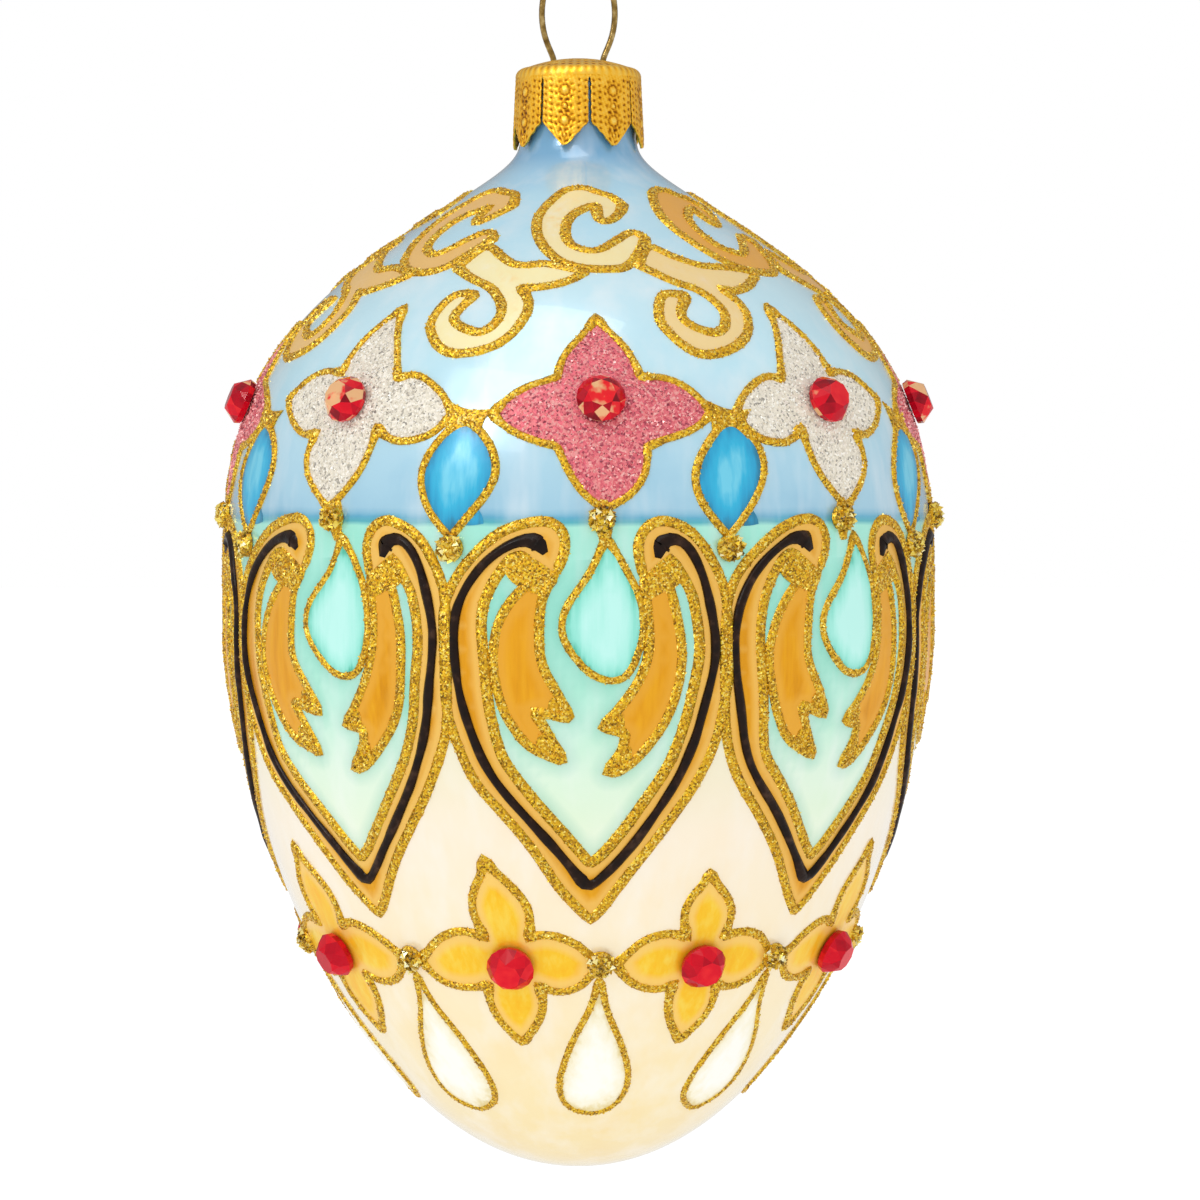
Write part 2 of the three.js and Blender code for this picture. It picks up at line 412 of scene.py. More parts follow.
def line_mesh(name, lines):
    """Lines on the glass as loose edges, with the thickness and the outward direction of each point.

    A line is (points in degrees and millimetres, radius, rise above the glass, closed)."""
    points, edges, radii, outs, start = [], [], [], [], 0
    for path, radius, rise, is_closed in lines:
        end = start + len(path)
        radius = np.broadcast_to(radius, (len(path),))
        points.append(on_egg(*path.T, np.minimum(rise, radius) - radius))
        outs.append(outward_at(*path.T))
        radii.append(radius * MM)
        edges += [(i, i + 1) for i in range(start, end - 1)]
        if is_closed:
            edges.append((end - 1, start))
        start = end
    points, radii, outs = (np.concatenate(parts) for parts in (points, radii, outs))
    return mesh_from(name, points, [], edges, thickness=radii, outward=outs)


# Node trees

FLOAT = "NodeSocketFloat"
VECTOR = "NodeSocketVector"
GEOMETRY = "NodeSocketGeometry"
MATERIAL = "NodeSocketMaterial"
SOCKETS = {float: FLOAT, int: "NodeSocketInt"}


def new_tree(name, kind, inputs, outputs):
    """An empty node tree; an input is given by its usual value, or by its socket where it has none."""
    tree = bpy.data.node_groups.new(name, kind)
    for label, value in inputs.items():
        socket = SOCKETS.get(type(value), value)
        made = tree.interface.new_socket(label, in_out="INPUT", socket_type=socket)
        if socket != value:
            made.default_value = value
    for label, socket in outputs.items():
        tree.interface.new_socket(label, in_out="OUTPUT", socket_type=socket)
    return tree, tree.nodes.new("NodeGroupInput").outputs, tree.nodes.new("NodeGroupOutput").inputs


def link_all(tree, sink, **sources):
    """The tree with its results linked to a group's outputs or a shader's inputs, _ standing for a space."""
    for label, source in sources.items():
        tree.links.new(source, sink[label.replace("_", " ")])
    return tree


def add(tree, kind, inputs=None, result=0, **settings):
    """A node with its settings made and its inputs set or linked; gives back one of its results."""
    node = tree.nodes.new(kind)
    for label, value in settings.items():
        setattr(node, label, value)
    for key, value in (inputs or {}).items():
        if isinstance(value, bpy.types.NodeSocket):
            tree.links.new(value, node.inputs[key])
        else:
            node.inputs[key].default_value = value
    return node.outputs[result]


def maths(tree, operation, first, second):
    return add(tree, "ShaderNodeMath", {0: first, 1: second}, operation=operation)


def vector_maths(tree, operation, first, second, result="Vector"):
    key = "Scale" if operation == "SCALE" else 1
    return add(tree, "ShaderNodeVectorMath", {0: first, key: second}, result, operation=operation)


def any_number(tree, low, high, seed):
    """A random number for each grain."""
    return add(tree, "FunctionNodeRandomValue", {2: low, 3: high, "Seed": seed}, 1, data_type="FLOAT")


def stored(tree, name, kind):
    return add(tree, "GeometryNodeInputNamedAttribute", {"Name": name}, data_type=kind)


def make_sprinkle_tree():
    """Grains sprinkled on the outward side of a surface, each with a tint of its own."""
    inputs = {"Surface": GEOMETRY, "Density": 5e6, "Grain": 0.0003, "Seed": 1}
    tree, source, sink = new_tree("Sprinkled grains", "GeometryNodeTree", inputs, {"Grains": GEOMETRY})
    seed = source["Seed"]
    outward = stored(tree, "outward", "FLOAT_VECTOR")
    facing = vector_maths(tree, "DOT_PRODUCT", outward, add(tree, "GeometryNodeInputNormal"), "Value")
    shown = maths(tree, "GREATER_THAN", facing, 0.15)
    spots = add(
        tree,
        "GeometryNodeDistributePointsOnFaces",
        {"Mesh": source["Surface"], "Selection": shown, "Density": source["Density"], "Seed": seed},
    )
    grain = add(tree, "GeometryNodeMeshCone", {"Vertices": 3, "Radius Bottom": 0.6, "Depth": 0.8})
    full_turn = (6.28, 6.28, 6.28)
    turn = add(
        tree, "FunctionNodeRandomValue", {0: (0, 0, 0), 1: full_turn, "Seed": seed}, data_type="FLOAT_VECTOR"
    )
    size = maths(tree, "MULTIPLY", any_number(tree, 0.6, 1.3, seed), source["Grain"])
    placed = add(
        tree,
        "GeometryNodeInstanceOnPoints",
        {"Points": spots, "Instance": grain, "Rotation": turn, "Scale": size},
    )
    tinted = add(
        tree,
        "GeometryNodeStoreNamedAttribute",
        {"Geometry": placed, "Name": "tint", "Value": any_number(tree, 0.0, 1.0, seed)},
        data_type="FLOAT",
        domain="INSTANCE",
    )
    return link_all(tree, sink, Grains=add(tree, "GeometryNodeRealizeInstances", {"Geometry": tinted}))


def with_grains(tree, surface, ground, source, sprinkle):
    """A surface joined to the coloured grains that lie on its ground."""
    spread = {label: source[label] for label in ("Density", "Grain", "Seed")}
    grains = add(tree, "GeometryNodeGroup", {"Surface": ground, **spread}, node_tree=sprinkle)
    colour = source["Grain Material"]
    coloured = add(tree, "GeometryNodeSetMaterial", {"Geometry": grains, "Material": colour})
    both = tree.nodes.new("GeometryNodeJoinGeometry")
    for part in (surface, coloured):
        tree.links.new(part, both.inputs[0])
    return both.outputs[0]


def make_line_tree(sprinkle):
    """A raised line along each edge path: a round bead of glue, lumpy, with or without grains on it."""
    inputs = {
        "Paths": GEOMETRY,
        "Step": 0.0007,
        "Lump": 0.0001,
        "Lump Size": 0.001,
        "Density": 0.0,
        "Grain": 0.0003,
        "Seed": 1,
        "Bead Material": MATERIAL,
        "Grain Material": MATERIAL,
    }
    tree, source, sink = new_tree("Raised line", "GeometryNodeTree", inputs, {"Line": GEOMETRY})
    curve = add(tree, "GeometryNodeMeshToCurve", {"Mesh": source["Paths"]})
    even = add(tree, "GeometryNodeResampleCurve", {"Curve": curve, "Length": source["Step"]}, mode="LENGTH")
    section = add(tree, "GeometryNodeCurvePrimitiveCircle", {"Resolution": 8, "Radius": 1.0})
    thickness = stored(tree, "thickness", "FLOAT")
    bead = add(
        tree,
        "GeometryNodeCurveToMesh",
        {"Curve": even, "Profile Curve": section, "Scale": thickness, "Fill Caps": True},
    )
    place = add(tree, "GeometryNodeInputPosition")
    scale = maths(tree, "DIVIDE", 1.0, source["Lump Size"])
    lumps = add(tree, "ShaderNodeTexNoise", {"Vector": place, "Scale": scale, "Detail": 1.0})
    height = maths(tree, "MULTIPLY", maths(tree, "SUBTRACT", lumps, 0.5), source["Lump"])
    push = vector_maths(tree, "SCALE", add(tree, "GeometryNodeInputNormal"), height)
    lumpy = add(tree, "GeometryNodeSetPosition", {"Geometry": bead, "Offset": push})
    glue = add(tree, "GeometryNodeSetMaterial", {"Geometry": lumpy, "Material": source["Bead Material"]})
    soft = add(tree, "GeometryNodeSetShadeSmooth", {"Geometry": glue, "Shade Smooth": True})
    return link_all(tree, sink, Line=with_grains(tree, soft, lumpy, source, sprinkle))


def make_dusting_tree(sprinkle):
    """A surface with grains sprinkled over it."""
    inputs = {"Surface": GEOMETRY, "Density": 4e6, "Grain": 0.0003, "Seed": 1, "Grain Material": MATERIAL}
    tree, source, sink = new_tree("Dusted surface", "GeometryNodeTree", inputs, {"Dusted": GEOMETRY})
    ground = source["Surface"]
    return link_all(tree, sink, Dusted=with_grains(tree, ground, ground, source, sprinkle))


def grown(name, mesh, tree, **values):
    """The mesh that a tree grows from a starting mesh."""
    base = bpy.data.objects.new(name, mesh)
    bpy.context.scene.collection.objects.link(base)
    modifier = base.modifiers.new("Grow", "NODES")
    modifier.node_group = tree
    sockets = {s.name: s.identifier for s in tree.interface.items_tree if s.in_out == "INPUT"}
    for label, value in values.items():
        modifier[sockets[label.replace("_", " ")]] = value
    made = bpy.data.meshes.new_from_object(base.evaluated_get(bpy.context.evaluated_depsgraph_get()))
    bpy.data.objects.remove(base)
    return made


# Shader groups

def on_object(tree):
    return add(tree, "ShaderNodeTexCoord", result="Object")


def bumped(tree, strength, depth, height):
    return add(tree, "ShaderNodeBump", {"Strength": strength, "Distance": depth, "Height": height})


def make_glitter_group():
    """Grains that each have a shade and a tilt of their own."""
    inputs = {"Grain": 0.0002, "Tilt": 0.8}
    tree, source, sink = new_tree("Glitter", "ShaderNodeTree", inputs, {"Shade": FLOAT, "Normal": VECTOR})
    scale = maths(tree, "DIVIDE", 1.0, source["Grain"])
    cells = add(tree, "ShaderNodeTexVoronoi", {"Vector": on_object(tree), "Scale": scale}, "Color")
    tilt = vector_maths(tree, "SUBTRACT", cells, (0.5, 0.5, 0.5))
    lean = vector_maths(tree, "SCALE", tilt, source["Tilt"])
    turned = vector_maths(tree, "ADD", add(tree, "ShaderNodeNewGeometry", result="Normal"), lean)
    unit = add(tree, "ShaderNodeVectorMath", {0: turned}, operation="NORMALIZE")
    return link_all(tree, sink, Shade=add(tree, "ShaderNodeSeparateColor", {0: cells}), Normal=unit)


def make_brush_group():
    """Streaks that a brush leaves, drawn up and down the egg."""
    inputs = {"Width": 0.0006, "Length": 0.008, "Relief": 0.1}
    outputs = {"Streak": FLOAT, "Normal": VECTOR}
    tree, source, sink = new_tree("Brush marks", "ShaderNodeTree", inputs, outputs)
    across = maths(tree, "DIVIDE", 1.0, source["Width"])
    along = maths(tree, "DIVIDE", 1.0, source["Length"])
    size = add(tree, "ShaderNodeCombineXYZ", {0: across, 1: across, 2: along})
    spaced = vector_maths(tree, "MULTIPLY", on_object(tree), size)
    streaks = add(
        tree, "ShaderNodeTexNoise", {"Vector": spaced, "Scale": 1.0, "Detail": 3.0, "Roughness": 0.6}
    )
    return link_all(tree, sink, Streak=streaks, Normal=bumped(tree, source["Relief"], 0.2 * MM, streaks))


def make_mottle_group():
    """Slow clouds of tone in a coat of lacquer."""
    inputs = {"Size": 0.01, "Detail": 3.0, "Relief": 0.05}
    tree, source, sink = new_tree("Mottling", "ShaderNodeTree", inputs, {"Cloud": FLOAT, "Normal": VECTOR})
    scale = maths(tree, "DIVIDE", 1.0, source["Size"])
    settings = {"Vector": on_object(tree), "Scale": scale, "Detail": source["Detail"]}
    clouds = add(tree, "ShaderNodeTexNoise", settings)
    return link_all(tree, sink, Cloud=clouds, Normal=bumped(tree, source["Relief"], 0.5 * MM, clouds))


GLITTER = make_glitter_group()
BRUSH = make_brush_group()
MOTTLE = make_mottle_group()


# Materials

def new_material(name, **plain):
    """A material with one Principled shader, whose plain values are set on its sockets."""
    material = bpy.data.materials.new(name)
    material.use_nodes = True
    shader = material.node_tree.nodes["Principled BSDF"]
    for label, value in plain.items():
        shader.inputs[label.replace("_", " ")].default_value = value
    return material, material.node_tree


def wired(material, **sources):
    """The material with its shader's inputs linked."""
    link_all(material.node_tree, material.node_tree.nodes["Principled BSDF"].inputs, **sources)
    return material


def use_group(tree, group, **values):
    return add(tree, "ShaderNodeGroup", values, node_tree=group).node.outputs


def attribute(tree, name):
    return add(tree, "ShaderNodeAttribute", None, "Fac", attribute_name=name)


def blended(tree, factor, first, second, blend="MIX"):
    """Two colours mixed, each a result or a code of the paint chart."""
    first, second = (linear(c) if isinstance(c, str) else c for c in (first, second))
    return add(tree, "ShaderNodeMix", {0: factor, 6: first, 7: second}, 2, data_type="RGBA", blend_type=blend)


def ranged(tree, value, low, high, to_low=0.0, to_high=1.0):
    return add(tree, "ShaderNodeMapRange", {0: value, 1: low, 2: high, 3: to_low, 4: to_high})


def drifting(tree, value, noise, swing, drift):
    """A value that wanders by a drift either way while a noise swings round its middle."""
    return maths(tree, "ADD", value, ranged(tree, noise, 0.5 - swing, 0.5 + swing, -drift, drift))


def add_ramp(tree, factor, stops):
    """A colour ramp with stops of (place, colour)."""
    colour = add(tree, "ShaderNodeValToRGB", {"Fac": factor}, "Color")
    elements = colour.node.color_ramp.elements
    while len(elements) < len(stops):
        elements.new(1.0)
    for element, stop in zip(elements, stops):
        element.position = stop[0]
    for element, stop in zip(elements, stops):
        element.color = linear(stop[1])
    return colour


# Lacquer colours from the bottom of the egg to the top of its neck: (millimetres above the girth, colour)
LACQUER_LEVELS = [
    (-55.0, "#F6DC98"), (-44.0, "#FCE8B4"), (-32.0, "#FFEEC8"), (-18.0, "#FFF1D8"), (-9.5, "#F6F0D2"),
    (-7.0, "#A4E8D0"), (2.0, "#98E6D0"), (12.0, "#A8F0DE"), (12.35, "#48B4C2"), (12.9, "#5AB0D2"),
    (13.5, "#A2D0E6"), (20.0, "#B4DEF0"), (27.0, "#C8EEFA"), (36.0, "#CCF0FC"), (45.0, "#BCEAFE"),
    (47.5, "#A8DAF6"), (49.5, "#74B0D8"), (60.0, "#5C92B6"),
]
# The mint inside the hearts, from their tips up to the edge of the blue
HEART_LEVELS = [
    (-22.0, "#F0FADC"), (-12.5, "#E2F9E2"), (-5.0, "#B8F1DC"), (3.0, "#A2ECDA"), (12.0, "#A8F0DE"),
]
BLUE_EDGE = HEART_LEVELS[-1][0]


def lacquer_material():
    """Pearl lacquer: sky blue, mint and cream, with mint in the hearts and painted shade, a darker teal,
    beside the lines.
    """
    material, tree = new_material(
        "sky mint and cream lacquer", Roughness=0.22, Coat_Weight=1.0, Coat_Roughness=0.03, Metallic=0.12
    )
    level = add(tree, "ShaderNodeSeparateXYZ", {0: on_object(tree)}, "Z")
    clouds = use_group(tree, MOTTLE, Size=0.006, Detail=4.0, Relief=0.03)

    def by_level(levels, drift):
        low, high = levels[0][0], levels[-1][0]
        share = ranged(tree, level, (GIRTH + low) * MM, (GIRTH + high) * MM)
        wandering = drifting(tree, share, clouds["Cloud"], 0.3, drift)
        return add_ramp(tree, wandering, [((h - low) / (high - low), c) for h, c in levels])

    # Painted shade: the mint turns darker teal near the lines and leaves, where they shade the ground.
    painted_shade_beside_line = ranged(tree, attribute(tree, "near"), 2.0, 0.6, 0.0, 0.35)
    mint = blended(tree, painted_shade_beside_line, by_level(HEART_LEVELS, 0.0), "#5CC4AE")
    below_blue = ranged(tree, level, (GIRTH + BLUE_EDGE + 0.1) * MM, (GIRTH + BLUE_EDGE - 0.1) * MM)
    in_heart = maths(tree, "MULTIPLY", attribute(tree, "heart"), below_blue)
    colour = blended(tree, in_heart, by_level(LACQUER_LEVELS, 0.0015), mint)
    streaks = use_group(tree, BRUSH, Width=0.004, Length=0.02, Relief=0.0)
    pale = blended(tree, ranged(tree, streaks["Streak"], 0.45, 0.75, 0.0, 0.35), colour, "#FFFFFF")
    deep = blended(tree, ranged(tree, clouds["Cloud"], 0.55, 0.3, 0.0, 0.22), pale, colour, "MULTIPLY")
    return wired(material, Base_Color=deep, Normal=clouds["Normal"])


def gold_paint_material(name, dark, mid, light, rim, metallic=0.45):
    """Gold paint, streaked by the brush and paler along its rim."""
    material, tree = new_material(
        name, Roughness=0.36, Specular_IOR_Level=0.25, Coat_Weight=0.15, Coat_Roughness=0.1, Metallic=metallic
    )
    fine = use_group(tree, BRUSH, Width=0.0008, Length=0.009, Relief=0.06)
    broad = use_group(tree, BRUSH, Width=0.0025, Length=0.012, Relief=0.0)
    mixed = ranged(tree, maths(tree, "ADD", fine["Streak"], broad["Streak"]), 0.65, 1.3)
    colour = add_ramp(tree, mixed, [(0.0, dark), (0.5, mid), (1.0, light)])
    near_rim = ranged(tree, attribute(tree, "edge"), 1.6, 0.9, 0.0, 0.8)
    edged = blended(tree, near_rim, colour, rim)
    # The patch tone turns the paint ochre; on the scrolls, where it is low, the cream left is a painted
    # reflection of the light from above.
    toned = blended(tree, attribute(tree, "patch"), edged, "#EAA21A")
    return wired(material, Base_Color=toned, Normal=fine["Normal"])


def glitter_line_material(name, stops, grain, metallic=0.6):
    """Glue full of fine glitter; the grains' shades vary, their darkest standing for painted shadow and their
    palest for painted glints.
    """
    material, tree = new_material(
        name, Roughness=0.42, Coat_Weight=0.12, Coat_Roughness=0.1, Metallic=metallic
    )
    glitter = use_group(tree, GLITTER, Grain=grain, Tilt=0.7)
    return wired(material, Base_Color=add_ramp(tree, glitter["Shade"], stops), Normal=glitter["Normal"])


def grain_material(name, stops, metallic=0.75):
    """Single grains, each of one tint, running from a painted shadow to a painted glint, with painted white
    glints on some of them.
    """
    material, tree = new_material(name, Roughness=0.35, Metallic=metallic)
    glitter = use_group(tree, GLITTER, Grain=0.00012, Tilt=0.25)
    colour = add_ramp(tree, attribute(tree, "tint"), stops)
    # Painted glints: some small cells turn up to 15% towards white.
    varied = blended(tree, ranged(tree, glitter["Shade"], 0.5, 1.0, 0.0, 0.15), colour, "#FFFFFF")
    return wired(material, Base_Color=varied, Normal=glitter["Normal"])


def enamel_line_material():
    """The thick dark line of the hearts: gloss, with tiny pits that catch the light."""
    material, tree = new_material(
        "dark enamel", Roughness=0.35, Specular_IOR_Level=0.1, Coat_Weight=0.12, Coat_Roughness=0.06
    )
    clouds = use_group(tree, MOTTLE, Size=0.0012, Detail=5.0, Relief=0.5)
    colour = add_ramp(tree, clouds["Cloud"], [(0.3, "#120803"), (0.55, "#241208"), (0.75, "#463022")])
    return wired(material, Base_Color=colour, Normal=clouds["Normal"])


def enamel_drop_material(name, stops, reach):
    """A drop of gloss enamel, deeper towards its edge, over a brushed ground."""
    material, tree = new_material(
        name, Roughness=0.35, Coat_Weight=0.4, Coat_Roughness=0.15, Metallic=0.05
    )
    clouds = use_group(tree, MOTTLE, Size=0.003, Detail=3.0, Relief=0.08)
    streaks = use_group(tree, BRUSH, Width=0.0012, Length=0.01, Relief=0.0)
    depth = ranged(tree, attribute(tree, "edge"), 0.0, reach)
    place = drifting(tree, depth, streaks["Streak"], 0.2, 0.25)
    return wired(material, Base_Color=add_ramp(tree, place, stops), Normal=clouds["Normal"])


def red_glass_material():
    """Red glass before a foil: each facet is painted a tone of its own as a painted reflection, from dark red
    to a few warm highlights.
    """
    material, tree = new_material(
        "red glass", Roughness=0.03, Specular_IOR_Level=0.12, Transmission_Weight=0.2
    )
    clouds = use_group(tree, MOTTLE, Size=0.0012, Detail=2.0, Relief=0.0)
    place = drifting(tree, attribute(tree, "facet"), clouds["Cloud"], 0.2, 0.08)
    tones = [(0.0, "#860016"), (0.2, "#C80022"), (0.7, "#F00A28"), (0.84, "#FF2A30"), (0.9, "#FFC890")]
    return wired(material, Base_Color=add_ramp(tree, place, tones))


def red_foil_material():
    """The bright red foil behind the glass of a stone, each facet painted a tone of its own as a painted
    reflection, from dark red to a few pale highlights.
    """
    material, tree = new_material("red foil", Roughness=0.12, Metallic=0.9)
    clouds = use_group(tree, MOTTLE, Size=0.0008, Detail=2.0, Relief=0.1)
    place = drifting(tree, attribute(tree, "facet"), clouds["Cloud"], 0.3, 0.1)
    tones = [(0.0, "#6E0014"), (0.3, "#C60626"), (0.7, "#EE1C34"), (0.86, "#FF8850"), (1.0, "#FFE8B8")]
    return wired(material, Base_Color=add_ramp(tree, place, tones), Normal=clouds["Normal"])


def cap_material():
    """Orange-gold stamped sheet, with painted shade in the hollows of the stamping and a painted highlight on
    its ridges.
    """
    material, tree = new_material("stamped gold sheet", Metallic=0.85, Roughness=0.36)
    clouds = use_group(tree, MOTTLE, Size=0.0015, Detail=4.0, Relief=0.15)
    place = drifting(tree, attribute(tree, "relief"), clouds["Cloud"], 0.3, 0.15)
    # The colour follows the height of the stamping: its dark end is painted shade in the hollows, its pale
    # end a painted highlight on the ridges.
    colour = add_ramp(tree, place, [(0.0, "#5E3404"), (0.2, "#BC7608"), (0.48, "#FCBC2C"), (1.0, "#FFE476")])
    dulled = ranged(tree, clouds["Cloud"], 0.3, 0.7, 0.32, 0.46)
    return wired(material, Base_Color=colour, Roughness=dulled, Normal=clouds["Normal"])


def wire_material():
    """Drawn brass-plated wire with duller, browner spots."""
    material, tree = new_material("brass plated wire", Metallic=1.0, Roughness=0.2)
    clouds = use_group(tree, MOTTLE, Size=0.0009, Detail=4.0, Relief=0.12)
    colour = add_ramp(tree, clouds["Cloud"], [(0.3, "#6A5024"), (0.5, "#A08248"), (0.7, "#D8BE84")])
    dulled = ranged(tree, clouds["Cloud"], 0.3, 0.7, 0.14, 0.26)
    return wired(material, Base_Color=colour, Roughness=dulled, Normal=clouds["Normal"])


# The painting

HEARTS = spread_round([-91.5, -41.5, 2.0, 45.5, 89.0], 43.5)
SCROLLS = spread_round([-90.0, -45.0, 0.0, 45.5, 90.5], 45.5)
UPPER_STONES = ring_of("upper_stone", 43.0)
LOWER_STONES = ring_of("lower_stone", 41.0)
MARQUISES = ring_of("marquise_bead", 45.0)
LOWER_BEADS = ring_of("lower_bead", 42.0)

# Half outlines of the heart's three lines, from the hooked end to the tip, left and right
HEART_DARK_LEFT = [
    (-6.9, 9.5), (-7.4, 10.6), (-9.6, 11.0), (-13.0, 10.0), (-17.2, 7.8), (-20.3, 4.6), (-21.3, 1.3),
    (-20.8, -2.5), (-19.3, -6.7), (-17.5, -10.5), (-14.6, -13.4), (-10.1, -16.5), (-4.75, -20.1),
    (0.0, -23.4),
]
HEART_DARK_RIGHT = [
    (10.0, 8.8), (10.2, 10.2), (12.3, 11.0), (14.8, 10.2), (16.8, 7.8), (18.3, 4.6), (19.0, 1.3),
    (18.6, -2.5), (17.3, -6.7), (15.9, -9.5), (13.5, -13.2), (9.4, -17.0), (4.6, -20.7), (0.0, -23.4),
]
HEART_OUTER_LEFT = [
    (-5.6, 7.4), (-4.1, 9.4), (-3.9, 11.2), (-5.2, 12.3), (-7.4, 12.7), (-12.8, 11.7), (-17.7, 9.3),
    (-21.0, 6.8), (-22.8, 3.6), (-22.8, -2.0), (-22.4, -5.7), (-21.3, -9.0), (-18.8, -12.8), (-14.1, -16.3),
    (-9.2, -19.8), (-4.3, -23.8), (0.2, -26.5),
]
HEART_OUTER_RIGHT = [
    (8.0, 6.8), (7.5, 8.0), (6.9, 9.7), (7.5, 11.15), (9.1, 12.2), (11.3, 12.5), (15.8, 11.3), (18.9, 8.5),
    (20.9, 5.35), (21.5, -1.0), (21.0, -5.7), (19.6, -9.3), (16.7, -13.4), (12.2, -17.45), (7.3, -21.5),
    (2.4, -25.3), (0.2, -26.5),
]
HEART_INNER_LEFT = [
    (-9.2, 9.1), (-11.4, 9.4), (-13.2, 8.25), (-15.0, 6.5), (-16.4, 4.5), (-16.9, 2.45), (-16.8, 0.1),
    (-15.9, -4.5), (-14.6, -9.6), (-12.8, -11.65), (-7.4, -15.7), (-2.1, -19.5), (0.0, -20.8),
]
HEART_INNER_RIGHT = [
    (12.0, 9.0), (13.6, 7.4), (14.9, 6.2), (15.8, 4.8), (16.5, 0.7), (15.8, -3.9), (15.0, -6.6),
    (12.0, -11.65), (7.3, -15.9), (1.95, -19.9), (0.0, -20.8),
]
LEAF_LEFT = [
    [
        (-5.6, 7.4), (-9.7, 6.5), (-13.7, 3.3), (-15.2, -0.7), (-13.7, -5.2), (-11.9, -7.5), (-9.7, -9.2),
        (-4.5, -10.5),
    ],
    [(-6.3, -8.3), (-8.5, -5.7)],
    [(-6.5, -5.9), (-3.2, -6.4)],
    [(-4.75, -4.3), (-7.4, -1.6), (-8.1, 0.7), (-7.4, 5.35)],
]
LEAF_RIGHT = [
    [(8.0, 6.8), (8.6, 3.0), (8.2, -1.0), (6.0, -4.2), (1.95, -7.3)],
    [(3.7, -7.5), (5.3, -7.9)],
    [(5.1, -9.2), (2.6, -11.7)],
    [(5.1, -11.5), (9.8, -8.6), (12.9, -5.1), (13.6, -0.45), (12.9, 3.6), (11.3, 6.8)],
]
PEAR = [
    [
        (0.7, 10.9), (-1.8, 7.4), (-5.6, 4.2), (-6.2, 2.45), (-5.6, 0.7), (-1.8, -2.2), (1.3, -2.8),
        (4.0, -2.2), (6.0, 1.3), (5.4, 5.35), (2.7, 9.1),
    ],
    [(1.5, 10.3)],
]
PINK_FLOWER = [
    [(-0.4, 32.2), (1.8, 30.9), (4.8, 29.4), (6.4, 28.0), (7.2, 26.4)],
    [(10.3, 26.4), (13.2, 25.9), (16.2, 24.8), (19.0, 22.9)],
    [(17.0, 21.7), (14.0, 20.8), (10.8, 20.4), (7.6, 19.7)],
    [(7.4, 18.2), (6.6, 16.8), (4.6, 15.2), (2.4, 14.3), (0.4, 13.7)],
    [(-1.6, 14.4), (-3.6, 15.8), (-5.0, 17.4), (-5.8, 18.8), (-6.6, 19.8)],
    [(-8.8, 20.0), (-12.2, 20.6), (-14.8, 21.6), (-16.8, 22.8)],
    [(-15.0, 24.0), (-12.4, 25.1), (-9.4, 25.8), (-6.8, 26.4)],
    [(-6.3, 28.1), (-4.4, 29.6), (-2.2, 30.9)],
]
WHITE_FLOWER = [
    [(3.0, 33.4), (4.6, 31.2), (6.6, 28.8), (8.2, 26.2)],
    [(11.2, 26.6), (14.6, 25.9), (17.8, 24.5), (19.6, 22.8)],
    [(16.6, 20.9), (11.6, 20.0), (8.8, 20.4), (6.7, 21.5)],
    [(6.2, 20.1), (4.6, 17.5), (1.6, 15.2), (-1.3, 13.6)],
    [(-4.5, 15.1), (-7.7, 17.1), (-8.5, 19.1), (-6.9, 20.9)],
    [(-11.3, 21.0), (-16.6, 22.8), (-19.0, 24.3)],
    [(-15.2, 26.1), (-10.6, 27.1), (-5.0, 26.9)],
    [(-4.6, 28.4), (-2.6, 30.3), (0.0, 31.9)],
]
MARQUISE_LEFT = [
    (-0.4, 22.4), (-2.6, 21.0), (-5.0, 19.2), (-6.4, 17.2), (-6.0, 15.1), (-4.2, 13.1), (-1.0, 10.9),
]
MARQUISE_RIGHT = [(-0.4, 22.4), (3.2, 21.2), (5.4, 19.6), (6.3, 17.7), (5.2, 15.7), (2.6, 13.5), (-1.0, 10.9)]
UPPER_SCROLL = [
    [
        (17.9, 43.9), (14.5, 45.0), (4.8, 45.6), (-4.9, 45.7), (-9.8, 44.9), (-13.2, 43.8), (-14.6, 42.8),
        (-12.7, 40.95), (-8.8, 39.2), (-3.9, 37.8), (2.0, 37.05), (8.65, 37.2), (12.5, 37.8), (19.8, 40.3),
    ],
    [
        (17.4, 41.1), (11.1, 40.3), (4.8, 38.9), (0.9, 39.06), (-2.5, 39.7), (-4.4, 40.8), (-4.4, 41.9),
        (-3.0, 42.7), (0.0, 43.15), (7.0, 43.9),
    ],
    [(6.7, 42.4), (9.6, 42.2), (16.4, 43.3)],
]
LOWER_SCROLL = [
    [
        (-30.8, 37.6), (-26.0, 39.6), (-21.3, 38.7), (-14.6, 37.5), (-6.9, 37.6), (1.9, 37.0),
    ],
    [(-3.0, 35.9), (-9.8, 35.1), (-12.7, 35.2)],
    [
        (-9.8, 33.4), (-12.2, 30.6), (-17.5, 29.0), (-24.3, 28.8), (-29.2, 31.2), (-29.9, 32.4),
        (-27.7, 34.65), (-22.4, 34.5),
    ],
    [
        (-24.3, 33.4), (-25.5, 32.4), (-23.8, 31.5), (-18.0, 30.7), (-15.1, 32.8), (-18.5, 34.96),
        (-24.3, 36.07),
    ],
]
LOWER_FLOWER = [
    [(0.0, -20.0), (1.4, -21.7), (3.6, -23.3), (5.1, -25.1), (5.0, -26.9), (4.2, -28.4)],
    [(7.7, -27.9), (11.2, -28.2), (14.2, -29.0), (16.6, -30.2), (18.5, -31.0)],
    [(16.2, -32.7), (12.5, -33.6), (8.4, -33.8), (5.2, -33.3)],
    [(5.9, -34.7), (5.4, -36.2), (3.6, -37.7), (0.0, -39.5)],
]
LOWER_DROP = [
    [
        (0.0, -32.6), (2.0, -35.9), (4.4, -37.9), (7.6, -40.6), (10.2, -43.6), (9.8, -45.6), (7.0, -46.6),
        (3.7, -47.1), (0.0, -47.3),
    ],
]

